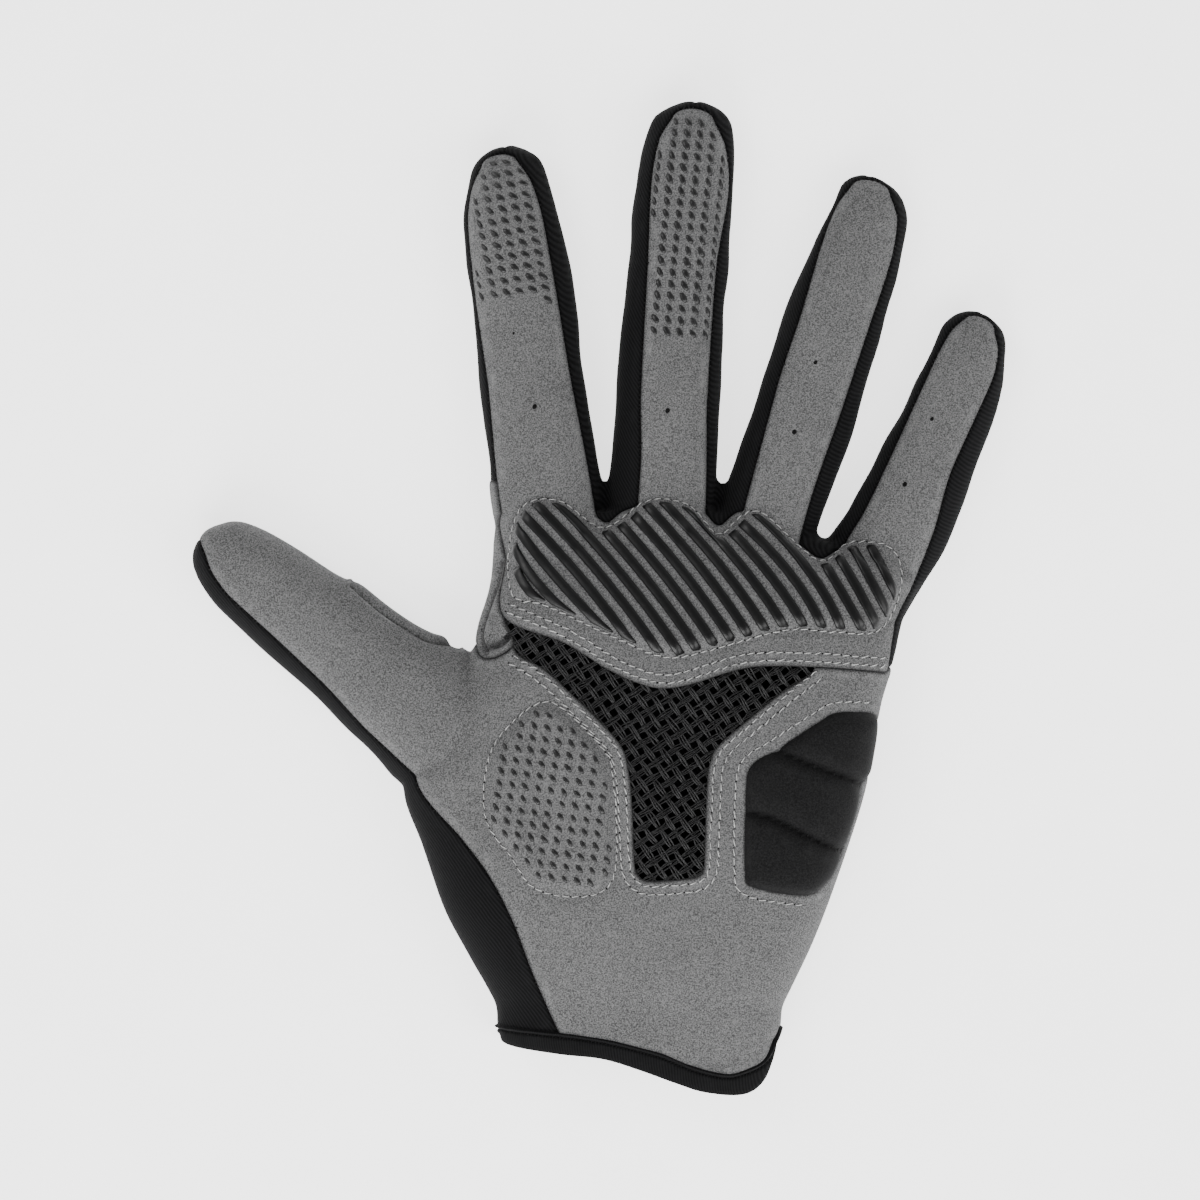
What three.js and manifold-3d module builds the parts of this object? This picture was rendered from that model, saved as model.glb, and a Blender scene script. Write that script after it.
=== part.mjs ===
// Full-finger cycling glove for the left hand, lying on its back with the palm up.
// Millimetres, +Z up, +Y towards the fingertips, +X away from the thumb.
// The origin is on the flat underside, below the middle of the palm.
// The cloth pieces are cut from one hollow glove form along the seams, with a small gap at each seam.

import * as THREE from "three";
import { mergeVertices } from "three/addons/utils/BufferGeometryUtils.js";
import Module from "manifold-3d";

const wasm = await Module();
wasm.setup();

// Driving sizes
const palmWidth = 98; // across the knuckles
const palmLength = 132; // from the finger crotches to the lowest point of the cuff
const palmThickness = 21;
const palmEdgeRadius = 13; // upper rounding along the sides of the palm
const clothThickness = 1.4;
const seamGap = 0.3;
const splitHeight = 5.2; // where the palm-side pieces meet the back panel
const cuffProud = 0.5; // how far the binding stands out of the cloth, inside and outside
const knuckleRise = 1.0;
const stripeRise = 0.9;
const stripeWidth = 1.9;
const stripePitch = 4.5; // along the knuckle line
const thenarRise = 1.2;
const heelSkinRise = 1.0; // the heel pad's backing
const heelCellRise = 2.8; // its cushions, above the cloth
const heelGrooveWidth = 2.2;
const heelCellInset = 1.0;
const netPitch = 4.5; // between hole centres along the net's threads
const netHole = 2.8; // side of one hole
const netMargin = 1.8; // solid rim round the net

// Fingers: root as shares of palmWidth and palmLength, lean in degrees from +Y towards +X.
// Rows: at is a share of the length; left, right and the seams are shares of the width;
// rise is a share of the thickness. The last two columns give the palm-side panel's seams.
const fingers = {
  index: {
    root: { x: -0.227, y: 0.409 },
    lean: -7.8,
    length: 84.5,
    width: 24,
    thickness: 14,
    rows: [
      { at: -0.25, left: 0.56, right: 0.47, rise: 1.12 },
      { at: 0, left: 0.565, right: 0.472, rise: 1.07, seamLeft: 0.49, seamRight: 0.38 },
      { at: 0.4, left: 0.55, right: 0.44, rise: 1, seamLeft: 0.463, seamRight: 0.315 },
      { at: 0.6, left: 0.515, right: 0.45, rise: 0.97, seamLeft: 0.472, seamRight: 0.295 },
      { at: 0.8, left: 0.487, right: 0.41, rise: 0.9, seamLeft: 0.45, seamRight: 0.262 },
      { at: 0.9, left: 0.408, right: 0.355, rise: 0.8, seamLeft: 0.37, seamRight: 0.2 },
      { at: 0.97, left: 0.31, right: 0.25, rise: 0.6, seamLeft: 0.22, seamRight: 0.09 },
      { at: 1, left: 0.14, right: 0.08, rise: 0.34 },
    ],
  },
  middle: {
    root: { x: 0.012, y: 0.409 },
    lean: 4.8,
    length: 94.2,
    width: 23,
    thickness: 14,
    rows: [
      { at: -0.25, left: 0.54, right: 0.54, rise: 1.12 },
      { at: 0, left: 0.54, right: 0.56, rise: 1.07, seamLeft: 0.24, seamRight: 0.44 },
      { at: 0.3, left: 0.535, right: 0.485, rise: 1, seamLeft: 0.3, seamRight: 0.36 },
      { at: 0.6, left: 0.54, right: 0.46, rise: 0.97, seamLeft: 0.338, seamRight: 0.34 },
      { at: 0.8, left: 0.505, right: 0.44, rise: 0.9, seamLeft: 0.368, seamRight: 0.4 },
      { at: 0.9, left: 0.456, right: 0.42, rise: 0.8, seamLeft: 0.33, seamRight: 0.33 },
      { at: 0.97, left: 0.34, right: 0.33, rise: 0.6, seamLeft: 0.2, seamRight: 0.18 },
      { at: 1, left: 0.13, right: 0.14, rise: 0.34 },
    ],
  },
  ring: {
    root: { x: 0.259, y: 0.366 },
    lean: 15.2,
    length: 86,
    width: 23,
    thickness: 13.5,
    rows: [
      { at: -0.25, left: 0.56, right: 0.45, rise: 1.12 },
      { at: 0, left: 0.59, right: 0.45, rise: 1.07, seamLeft: 0.33, seamRight: 0.28 },
      { at: 0.4, left: 0.49, right: 0.515, rise: 1, seamLeft: 0.33, seamRight: 0.35 },
      { at: 0.6, left: 0.43, right: 0.527, rise: 0.97, seamLeft: 0.29, seamRight: 0.39 },
      { at: 0.8, left: 0.343, right: 0.52, rise: 0.9, seamLeft: 0.27, seamRight: 0.43 },
      { at: 0.9, left: 0.284, right: 0.485, rise: 0.8, seamLeft: 0.225, seamRight: 0.39 },
      { at: 0.97, left: 0.2, right: 0.35, rise: 0.6, seamLeft: 0.12, seamRight: 0.23 },
      { at: 1, left: 0.07, right: 0.16, rise: 0.34 },
    ],
  },
  little: {
    root: { x: 0.466, y: 0.29 },
    lean: 24.1,
    length: 68.3,
    width: 21.6,
    thickness: 12.5,
    rows: [
      { at: -0.25, left: 0.53, right: 0.5, rise: 1.12 },
      { at: 0, left: 0.54, right: 0.56, rise: 1.08, seamLeft: 0.36, seamRight: 0.47 },
      { at: 0.1, left: 0.53, right: 0.6, rise: 1.04, seamLeft: 0.344, seamRight: 0.49 },
      { at: 0.25, left: 0.43, right: 0.655, rise: 1.02, seamLeft: 0.285, seamRight: 0.47 },
      { at: 0.5, left: 0.375, right: 0.61, rise: 0.97, seamLeft: 0.265, seamRight: 0.37 },
      { at: 0.8, left: 0.344, right: 0.52, rise: 0.9, seamLeft: 0.255, seamRight: 0.38 },
      { at: 0.9, left: 0.328, right: 0.417, rise: 0.8, seamLeft: 0.229, seamRight: 0.32 },
      { at: 0.97, left: 0.21, right: 0.3, rise: 0.6, seamLeft: 0.13, seamRight: 0.18 },
      { at: 1, left: 0.08, right: 0.14, rise: 0.34 },
    ],
  },
  thumb: {
    root: { x: -0.493, y: 0.026 },
    lean: -48.2,
    length: 70.9,
    width: 25.7,
    thickness: 15,
    rows: [
      { at: -0.25, left: 0.44, right: 0.6, rise: 1.2 },
      { at: 0, left: 0.456, right: 0.66, rise: 1.22, seamLeft: 0.33, seamRight: 1 },
      { at: 0.2, left: 0.434, right: 0.72, rise: 1.12, seamLeft: 0.325, seamRight: 1 },
      { at: 0.4, left: 0.425, right: 0.605, rise: 1.02, seamLeft: 0.276, seamRight: 1 },
      { at: 0.6, left: 0.421, right: 0.5, rise: 0.97, seamLeft: 0.259, seamRight: 1 },
      { at: 0.8, left: 0.4, right: 0.417, rise: 0.9, seamLeft: 0.254, seamRight: 1 },
      { at: 0.9, left: 0.346, right: 0.338, rise: 0.8, seamLeft: 0.2, seamRight: 1 },
      { at: 0.97, left: 0.25, right: 0.22, rise: 0.6, seamLeft: 0.11, seamRight: 1 },
      { at: 1, left: 0.12, right: 0.08, rise: 0.34 },
    ],
  },
};

// Palm sections from below the cuff up to the finger crotches.
// y is a share of palmLength, left and right are shares of palmWidth, rise of palmThickness.
const palmRows = [
  { y: -0.6, left: 0.358, right: 0.28, rise: 0.76 },
  { y: -0.426, left: 0.362, right: 0.284, rise: 0.83 },
  { y: -0.384, left: 0.381, right: 0.307, rise: 0.87 },
  { y: -0.319, left: 0.431, right: 0.351, rise: 0.92 },
  { y: -0.237, left: 0.491, right: 0.397, rise: 0.97 },
  { y: -0.141, left: 0.537, right: 0.443, rise: 1 },
  { y: -0.043, left: 0.576, right: 0.489, rise: 1 },
  { y: 0.026, left: 0.528, right: 0.507, rise: 0.98 },
  { y: 0.102, left: 0.47, right: 0.523, rise: 0.96 },
  { y: 0.239, left: 0.397, right: 0.578, rise: 0.87 },
  { y: 0.307, left: 0.376, right: 0.617, rise: 0.8 },
  { y: 0.354, left: 0.369, right: 0.48, rise: 0.74 },
  { y: 0.392, left: 0.365, right: 0.333, rise: 0.68 },
  { y: 0.423, left: 0.264, right: 0.183, rise: 0.62 },
];

// Seam lines and pad outlines in plan: x as a share of palmWidth, y as a share of palmLength.
const knuckleBand = [
  { x: -0.349, y: 0.423 },
  { x: -0.344, y: 0.341 },
  { x: -0.346, y: 0.245 },
  { x: -0.209, y: 0.201 },
  { x: -0.112, y: 0.157 },
  { x: -0.041, y: 0.133 },
  { x: 0.011, y: 0.124 },
  { x: 0.076, y: 0.13 },
  { x: 0.211, y: 0.159 },
  { x: 0.358, y: 0.16 },
  { x: 0.539, y: 0.15 },
  { x: 0.562, y: 0.256 },
  { x: 0.589, y: 0.307 },
  { x: 0.493, y: 0.355 },
  { x: 0.424, y: 0.361 },
  { x: 0.378, y: 0.344 },
  { x: 0.333, y: 0.366 },
  { x: 0.264, y: 0.409 },
  { x: 0.19, y: 0.423 },
  { x: 0.144, y: 0.399 },
  { x: 0.103, y: 0.426 },
  { x: 0.011, y: 0.435 },
  { x: -0.069, y: 0.426 },
  { x: -0.112, y: 0.404 },
  { x: -0.149, y: 0.423 },
  { x: -0.218, y: 0.435 },
];
const netField = [
  { x: -0.339, y: 0.252 },
  { x: -0.319, y: 0.186 },
  { x: -0.255, y: 0.157 },
  { x: -0.183, y: 0.109 },
  { x: -0.124, y: 0.066 },
  { x: -0.08, y: 0.029 },
  { x: -0.064, y: -0.005 },
  { x: -0.055, y: -0.063 },
  { x: -0.048, y: -0.172 },
  { x: -0.039, y: -0.191 },
  { x: -0.016, y: -0.201 },
  { x: 0.08, y: -0.196 },
  { x: 0.103, y: -0.189 },
  { x: 0.11, y: -0.172 },
  { x: 0.117, y: -0.039 },
  { x: 0.124, y: 0 },
  { x: 0.144, y: 0.029 },
  { x: 0.211, y: 0.072 },
  { x: 0.28, y: 0.114 },
  { x: 0.36, y: 0.16 },
  { x: 0.211, y: 0.18 },
  { x: 0.011, y: 0.15 },
  { x: -0.112, y: 0.18 },
  { x: -0.209, y: 0.222 },
];
const heelField = [
  { x: -0.493, y: 0.187 },
  { x: -0.323, y: 0.205 },
  { x: -0.218, y: 0.17 },
  { x: 0.36, y: 0.17 },
  { x: 0.525, y: 0.155 },
  { x: 0.642, y: 0.143 },
  { x: 0.642, y: -0.62 },
  { x: -0.218, y: -0.62 },
  { x: -0.22, y: -0.457 },
  { x: -0.245, y: -0.419 },
  { x: -0.28, y: -0.358 },
  { x: -0.326, y: -0.268 },
  { x: -0.378, y: -0.193 },
  { x: -0.438, y: -0.133 },
  { x: -0.544, y: -0.036 },
  { x: -0.516, y: 0.051 },
];
const gussetField = [
  { x: -0.459, y: 0.47 },
  { x: -0.36, y: 0.47 },
  { x: -0.349, y: 0.404 },
  { x: -0.344, y: 0.341 },
  { x: -0.346, y: 0.245 },
  { x: -0.323, y: 0.196 },
  { x: -0.362, y: 0.172 },
  { x: -0.406, y: 0.164 },
  { x: -0.459, y: 0.179 },
];
const knuckleOutline = [
  { x: -0.305, y: 0.43 },
  { x: -0.22, y: 0.441 },
  { x: -0.119, y: 0.394 },
  { x: -0.021, y: 0.44 },
  { x: 0.076, y: 0.433 },
  { x: 0.144, y: 0.382 },
  { x: 0.197, y: 0.416 },
  { x: 0.248, y: 0.418 },
  { x: 0.372, y: 0.339 },
  { x: 0.443, y: 0.37 },
  { x: 0.54, y: 0.36 },
  { x: 0.56, y: 0.297 },
  { x: 0.51, y: 0.222 },
  { x: 0.404, y: 0.219 },
  { x: 0.294, y: 0.222 },
  { x: 0.112, y: 0.186 },
  { x: 0.016, y: 0.177 },
  { x: -0.112, y: 0.216 },
  { x: -0.259, y: 0.266 },
  { x: -0.323, y: 0.278 },
  { x: -0.335, y: 0.353 },
];
const thenarOutline = [
  { x: -0.28, y: 0.094 },
  { x: -0.22, y: 0.094 },
  { x: -0.122, y: 0.024 },
  { x: -0.098, y: -0.02 },
  { x: -0.089, y: -0.159 },
  { x: -0.115, y: -0.215 },
  { x: -0.197, y: -0.227 },
  { x: -0.28, y: -0.21 },
  { x: -0.33, y: -0.158 },
  { x: -0.383, y: -0.102 },
  { x: -0.388, y: -0.027 },
  { x: -0.362, y: 0.035 },
];
const heelPadOutline = [
  { x: 0.369, y: 0.068 },
  { x: 0.41, y: 0.084 },
  { x: 0.495, y: 0.084 },
  { x: 0.511, y: 0.062 },
  { x: 0.491, y: -0.022 },
  { x: 0.461, y: -0.095 },
  { x: 0.42, y: -0.174 },
  { x: 0.392, y: -0.205 },
  { x: 0.34, y: -0.227 },
  { x: 0.218, y: -0.212 },
  { x: 0.2, y: -0.185 },
  { x: 0.202, y: -0.049 },
  { x: 0.214, y: -0.006 },
  { x: 0.271, y: 0.02 },
];
const heelGrooves = [
  [
    { x: 0.18, y: 0.045 },
    { x: 0.264, y: 0.022 },
    { x: 0.427, y: -0.027 },
    { x: 0.56, y: -0.063 },
  ],
  [
    { x: 0.12, y: -0.086 },
    { x: 0.243, y: -0.09 },
    { x: 0.397, y: -0.145 },
    { x: 0.56, y: -0.178 },
  ],
];
const cuffTop = [
  { x: -0.36, y: -0.448 },
  { x: -0.22, y: -0.457 },
  { x: -0.122, y: -0.467 },
  { x: -0.05, y: -0.479 },
  { x: 0.021, y: -0.494 },
  { x: 0.089, y: -0.515 },
  { x: 0.161, y: -0.527 },
  { x: 0.206, y: -0.52 },
  { x: 0.245, y: -0.505 },
  { x: 0.268, y: -0.474 },
  { x: 0.28, y: -0.45 },
];
const cuffLow = [
  { x: -0.358, y: -0.467 },
  { x: -0.342, y: -0.484 },
  { x: -0.222, y: -0.498 },
  { x: -0.122, y: -0.506 },
  { x: -0.037, y: -0.525 },
  { x: 0.044, y: -0.547 },
  { x: 0.112, y: -0.564 },
  { x: 0.197, y: -0.569 },
  { x: 0.245, y: -0.551 },
  { x: 0.268, y: -0.515 },
  { x: 0.284, y: -0.47 },
];

// Stripe groups on the knuckle pad. start is a share of palmWidth on the line at knuckleLineY,
// span is the share of palmWidth that the group covers, lean is sideways run per unit of drop.
const knuckleLineY = 0.315; // share of palmLength
const stripeGroups = [
  { start: -0.307, span: 0.66, leanFirst: 0.84, leanLast: 0.74 },
  { start: 0.394, span: 0.16, leanFirst: 0.56, leanLast: 0.46 },
];

// Section shape: where the side lies, and the steps from the side to the crown
const sideShare = 0.42;
const crownShare = 0.14;
const outsideSteps = { edge: [0, 0.16, 0.5, 1], under: [1, 0.35] };
const insideSteps = { edge: [0, 0.3, 1], under: [1] };
const palmCrown = [-0.4, 0.4]; // points across the flat of the crown
const fingerCrown = [0];
const edgeShare = 0.8; // most of a half width that the edge rounding may take
const leastThickness = 0.3; // least share of a fingertip's size that its hollow keeps

const high = palmThickness * 3; // above everything
const wide = palmWidth * 3;

function place(rows) {
  return rows.map(({ x, y }) => new THREE.Vector2(x * palmWidth, y * palmLength));
}

// Closed ring of one section in its own plane: from the left side over the crown and back below.
function sectionRing({ left, right, base, thickness, edge, crown, steps }) {
  const half = (left + right) / 2;
  const middle = (right - left) / 2;
  const side = base + sideShare * thickness;
  const round = Math.min(edge, edgeShare * half);
  const crownHeight = (s) => {
    const step = Math.min(1, (half - Math.abs(s)) / round);
    const fall = Math.sqrt(Math.max(0, 1 - (1 - step) ** 2));
    return side + (base + thickness - side) * ((1 - crownShare) * fall + crownShare * (1 - (s / half) ** 2));
  };
  const offsets = steps.edge.map((step) => half - step * round);
  const inner = crown.map((share) => share * (half - round));
  const top = [...offsets.map((s) => -s), ...inner, ...offsets.slice().reverse()];
  const under = Math.min(side - base, edgeShare * half);
  const low = steps.under.map((step) => ({
    s: half - step * under,
    z: base + (side - base) * (1 - Math.sqrt(1 - (1 - step) ** 2)),
  }));
  return [
    ...top.map((s) => ({ s: s + middle, z: crownHeight(s) })),
    ...low.slice().reverse().map(({ s, z }) => ({ s: s + middle, z })),
    ...low.map(({ s, z }) => ({ s: middle - s, z })),
  ];
}

// Closed solid through rings of equal length. Each ring runs clockwise as seen from behind the path.
function loft(rings) {
  const count = rings[0].length;
  const points = rings.flat();
  const faces = [];
  for (let ring = 0; ring + 1 < rings.length; ring += 1) {
    for (let k = 0; k < count; k += 1) {
      const a = ring * count + k;
      const b = ring * count + ((k + 1) % count);
      faces.push(a, b, a + count, b, b + count, a + count);
    }
  }
  const last = (rings.length - 1) * count;
  const centre = (ring) => ring.reduce((sum, p) => sum.add(p), new THREE.Vector3()).divideScalar(count);
  points.push(centre(rings[0]), centre(rings[rings.length - 1]));
  const start = points.length - 2;
  for (let k = 0; k < count; k += 1) {
    const next = (k + 1) % count;
    faces.push(start, next, k);
    faces.push(start + 1, last + k, last + next);
  }
  const geometry = new THREE.BufferGeometry().setFromPoints(points);
  geometry.setIndex(faces);
  return toSolid(geometry);
}

function toSolid(source) {
  const geometry = source.clone();
  geometry.deleteAttribute("normal");
  geometry.deleteAttribute("uv");
  const merged = mergeVertices(geometry, 1e-4);
  return new wasm.Manifold(
    new wasm.Mesh({
      numProp: 3,
      vertProperties: new Float32Array(merged.getAttribute("position").array),
      triVerts: new Uint32Array(merged.getIndex().array),
    }),
  );
}

function prism(outline, low = -high, top = high) {
  const geometry = new THREE.ExtrudeGeometry(new THREE.Shape(outline), {
    depth: top - low,
    bevelEnabled: false,
  });
  geometry.translate(0, 0, low);
  return toSolid(geometry);
}

// The outline moved outwards by distance, or inwards where distance is below zero
function grow(outline, distance) {
  const turned = THREE.ShapeUtils.area(outline) < 0 ? outline.slice().reverse() : outline;
  const count = turned.length;
  return turned.map((point, k) => {
    const before = point.clone().sub(turned[(k + count - 1) % count]).normalize();
    const after = turned[(k + 1) % count].clone().sub(point).normalize();
    const normal = new THREE.Vector2(before.y + after.y, -before.x - after.x).normalize();
    const slant = Math.max(0.5, normal.x * after.y - normal.y * after.x);
    return point.clone().addScaledVector(normal, distance / slant);
  });
}

function smooth(outline, count) {
  const curve = new THREE.CatmullRomCurve3(
    outline.map(({ x, y }) => new THREE.Vector3(x, y, 0)),
    true,
    "catmullrom",
    0.5,
  );
  return curve.getPoints(count).slice(0, count).map(({ x, y }) => new THREE.Vector2(x, y));
}

function join(solids) {
  return solids.reduce((sum, solid) => sum.add(solid));
}

// A finger's own axes in plan
function fingerAxes(finger) {
  const lean = THREE.MathUtils.degToRad(finger.lean);
  const [root] = place([finger.root]);
  return {
    root,
    along: new THREE.Vector2(Math.sin(lean), Math.cos(lean)),
    across: new THREE.Vector2(Math.cos(lean), -Math.sin(lean)),
  };
}

function fingerPoint(finger, at, sideways) {
  const { root, along, across } = fingerAxes(finger);
  return root.clone().addScaledVector(along, at * finger.length).addScaledVector(across, sideways);
}

// One finger as a solid, its skin moved out by offset. A tip nearer the root and a raised base
// make the hollow of a finger whose offset is below zero.
function fingerForm(finger, offset) {
  const shrink = Math.min(0, offset);
  const scale = (finger.length + offset) / finger.length;
  const rings = finger.rows.map((row) => {
    const thickness = row.rise * finger.thickness;
    const lift = row.rise < 1 ? sideShare * (1 - row.rise) * finger.thickness : 0;
    const at = row.at > 0 ? row.at * scale : row.at;
    const half = (finger.width * (row.left + row.right)) / 2;
    const inset = Math.max(offset, (leastThickness - 1) * half);
    const ring = sectionRing({
      left: row.left * finger.width + inset,
      right: row.right * finger.width + inset,
      base: lift - shrink,
      thickness: Math.max(thickness + offset + shrink, leastThickness * thickness),
      edge: palmEdgeRadius + offset,
      crown: fingerCrown,
      steps: offset < 0 ? insideSteps : outsideSteps,
    });
    return ring.map(({ s, z }) => {
      const { x, y } = fingerPoint(finger, at, s);
      return new THREE.Vector3(x, y, z);
    });
  });
  return loft(rings);
}

function palmForm(offset) {
  const shrink = Math.min(0, offset);
  const rings = palmRows.map((row, k) => {
    const crotch = k === palmRows.length - 1 ? offset : 0;
    const ring = sectionRing({
      left: row.left * palmWidth + offset,
      right: row.right * palmWidth + offset,
      base: -shrink,
      thickness: row.rise * palmThickness + offset + shrink,
      edge: palmEdgeRadius + offset,
      crown: palmCrown,
      steps: offset < 0 ? insideSteps : outsideSteps,
    });
    return ring.map(({ s, z }) => new THREE.Vector3(s, row.y * palmLength + crotch, z));
  });
  return loft(rings);
}

function gloveForm(offset) {
  return join([palmForm(offset), ...Object.values(fingers).map((finger) => fingerForm(finger, offset))]);
}

// The palm-side panel of one finger in plan, from its root to its tip
function fingerPanel(finger) {
  const rows = finger.rows.filter((row) => row.seamLeft !== undefined);
  const leftSide = rows.map((row) => fingerPoint(finger, row.at, -row.seamLeft * finger.width));
  const rightSide = rows.map((row) => fingerPoint(finger, row.at, row.seamRight * finger.width));
  return [...leftSide, ...rightSide.reverse()];
}

// The stretch between two neighbouring fingers' axes, where their side strip lies
function fingerGap(first, second) {
  const over = 1.1;
  const behind = -0.12;
  return [
    fingerPoint(first, behind, 0),
    fingerPoint(first, over, 0),
    fingerPoint(second, over, 0),
    fingerPoint(second, behind, 0),
  ];
}

// Regions: each is a function of how far it is grown, so a neighbour can be cut back by the seam gap
const panelRegion = (outlines) => (extra, low) => join(outlines.map((outline) => prism(grow(outline, extra), low)));
const { index, middle, ring, little, thumb } = fingers;
const regions = {
  palm_upper: panelRegion([place(knuckleBand), ...[index, middle, ring, little].map(fingerPanel)]),
  thumb_gusset: panelRegion([place(gussetField)]),
  mesh_insert: panelRegion([place(netField)]),
  palm_lower: panelRegion([place(heelField), fingerPanel(thumb)]),
  fourchette_index_middle: panelRegion([fingerGap(index, middle)]),
  fourchette_middle_ring: panelRegion([fingerGap(middle, ring)]),
  fourchette_ring_little: panelRegion([fingerGap(ring, little)]),
};

// The cuff's binding covers a band of the wrist, and the cloth starts at its upper edge.
function beyond(line, sideways) {
  const first = line[0].clone().setX(-sideways);
  const last = line[line.length - 1].clone().setX(sideways);
  return [first, ...line, last];
}
const bandTop = beyond(place(cuffTop), wide);
const bandLow = beyond(place(cuffLow), wide);
const clothStart = bandTop.map((p) => p.clone().setY(p.y + seamGap));
const clothRegion = prism([...clothStart, new THREE.Vector2(wide, wide), new THREE.Vector2(-wide, wide)]);
const bandRegion = prism([...bandLow, ...bandTop.slice().reverse()]);

const outer = gloveForm(0);
const hollow = gloveForm(-clothThickness);
const cloth = outer.subtract(hollow).intersect(clothRegion);
const binding = gloveForm(cuffProud)
  .subtract(gloveForm(-clothThickness - cuffProud))
  .intersect(bandRegion);

// Cloth pieces before the fingers are parted, each cut back from those that lie over its edge
const whole = {};
const names = Object.keys(regions);
names.forEach((name, k) => {
  const region = regions[name](0, splitHeight + seamGap / 2);
  const over = names.slice(0, k).map((other) => regions[other](seamGap, -high));
  const panel = cloth.intersect(region);
  whole[name] = over.length ? panel.subtract(join(over)) : panel;
});
whole.back = cloth.subtract(join(names.map((name) => regions[name](seamGap, splitHeight - seamGap / 2))));

// Zones of the four fingers and the thumb in plan, each from its root outwards. Neighbours share
// the line halfway between their axes.
const rootLine = 0.02; // share of a finger's length
const thumbLine = 0.22; // share of the thumb's length, where it leaves the palm
const beyondTip = 1.15;
function halfway(first, second, at) {
  return fingerPoint(first, at, 0).add(fingerPoint(second, at, 0)).multiplyScalar(0.5);
}
function fingerZone(before, finger, after) {
  const side = (neighbour, at, reach) =>
    neighbour ? halfway(finger, neighbour, at) : fingerPoint(finger, at, reach * finger.width);
  return [
    side(before, rootLine, -1),
    side(before, beyondTip, -1),
    side(after, beyondTip, 1),
    side(after, rootLine, 1),
    fingerPoint(finger, rootLine, 0),
  ];
}
const zones = {
  index: fingerZone(null, index, middle),
  middle: fingerZone(index, middle, ring),
  ring: fingerZone(middle, ring, little),
  little: fingerZone(ring, little, null),
  thumb: [
    fingerPoint(thumb, thumbLine, -0.8 * thumb.width),
    fingerPoint(thumb, beyondTip, -0.8 * thumb.width),
    fingerPoint(thumb, beyondTip, 0.8 * thumb.width),
    fingerPoint(thumb, thumbLine, 0.8 * thumb.width),
  ],
};
const zonePrisms = (extra) =>
  Object.fromEntries(Object.entries(zones).map(([name, zone]) => [name, prism(grow(zone, extra))]));
const zoneInside = zonePrisms(-seamGap / 2);
const zoneOutside = zonePrisms(seamGap / 2);

// The back and the two suede panels are parted at the roots of the fingers and the thumb.
const pieces = {};
const fingerNames = ["index", "middle", "ring", "little"];
function part(source, rest, prefix, parted) {
  pieces[rest] = source.subtract(join(parted.map((name) => zoneOutside[name])));
  parted.forEach((name) => {
    pieces[prefix + name] = source.intersect(zoneInside[name]);
  });
}
part(whole.back, "back_hand", "back_", [...fingerNames, "thumb"]);
part(whole.palm_upper, "palm_upper", "face_", fingerNames);
part(whole.palm_lower, "palm_lower", "face_", ["thumb"]);
["thumb_gusset", "mesh_insert", ...names.filter((name) => name.startsWith("fourchette"))].forEach((name) => {
  pieces[name] = whole[name];
});
pieces.cuff_binding = binding;

// The net: square holes stood on their corners, in rows through the insert
function netHoles() {
  const field = grow(place(netField), -netMargin);
  const lower = grow(place(knuckleBand), netMargin);
  const inside = (outline, x, y) => {
    let odd = false;
    outline.forEach((a, k) => {
      const b = outline[(k + 1) % outline.length];
      if (a.y > y !== b.y > y && x < ((b.x - a.x) * (y - a.y)) / (b.y - a.y) + a.x) odd = !odd;
    });
    return odd;
  };
  const step = netPitch * Math.SQRT1_2;
  const reach = netHole * Math.SQRT1_2;
  const count = Math.ceil(wide / step);
  const cuts = [];
  for (let row = -count; row <= count; row += 1) {
    for (let column = -count; column <= count; column += 1) {
      if ((row + column) % 2 !== 0) continue;
      const x = column * step;
      const y = row * step;
      const corners = [
        new THREE.Vector2(x - reach, y),
        new THREE.Vector2(x, y - reach),
        new THREE.Vector2(x + reach, y),
        new THREE.Vector2(x, y + reach),
      ];
      const clear = corners.every((c) => inside(field, c.x, c.y) && !inside(lower, c.x, c.y));
      if (clear) cuts.push(prism(corners));
    }
  }
  return cuts;
}
const holes = netHoles();
pieces.mesh_insert = pieces.mesh_insert.subtract(join(holes));

// Pads and stripes: slices of the glove form moved out, cut to their outlines
function slice(low, top, region) {
  return gloveForm(top).subtract(gloveForm(low)).intersect(region);
}
const padRegion = (outline) => prism(outline, splitHeight);

const knuckleEdge = smooth(place(knuckleOutline), 34);
const knuckleTop = seamGap + knuckleRise;
pieces.knuckle_pad = slice(seamGap, knuckleTop, padRegion(knuckleEdge));
pieces.thenar_pad = slice(seamGap, seamGap + thenarRise, padRegion(smooth(place(thenarOutline), 24)));

// A strip of the given width along a line in plan
function strip(line, width) {
  const sides = line.map((point, k) => {
    const before = line[Math.max(0, k - 1)];
    const after = line[Math.min(line.length - 1, k + 1)];
    const along = after.clone().sub(before).normalize();
    const across = new THREE.Vector2(along.y, -along.x).multiplyScalar(width / 2);
    return [point.clone().add(across), point.clone().sub(across)];
  });
  return [...sides.map(([right]) => right), ...sides.map(([, left]) => left).reverse()];
}

const heelEdge = smooth(place(heelPadOutline), 28);
const grooves = join(heelGrooves.map((line) => prism(strip(place(line), heelGrooveWidth))));
const heelSkin = slice(seamGap, seamGap + heelSkinRise, padRegion(heelEdge));
const heelCells = slice(seamGap + heelSkinRise / 2, seamGap + heelCellRise, padRegion(grow(heelEdge, -heelCellInset)));
pieces.heel_pad = heelSkin.add(heelCells.subtract(grooves));

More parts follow.
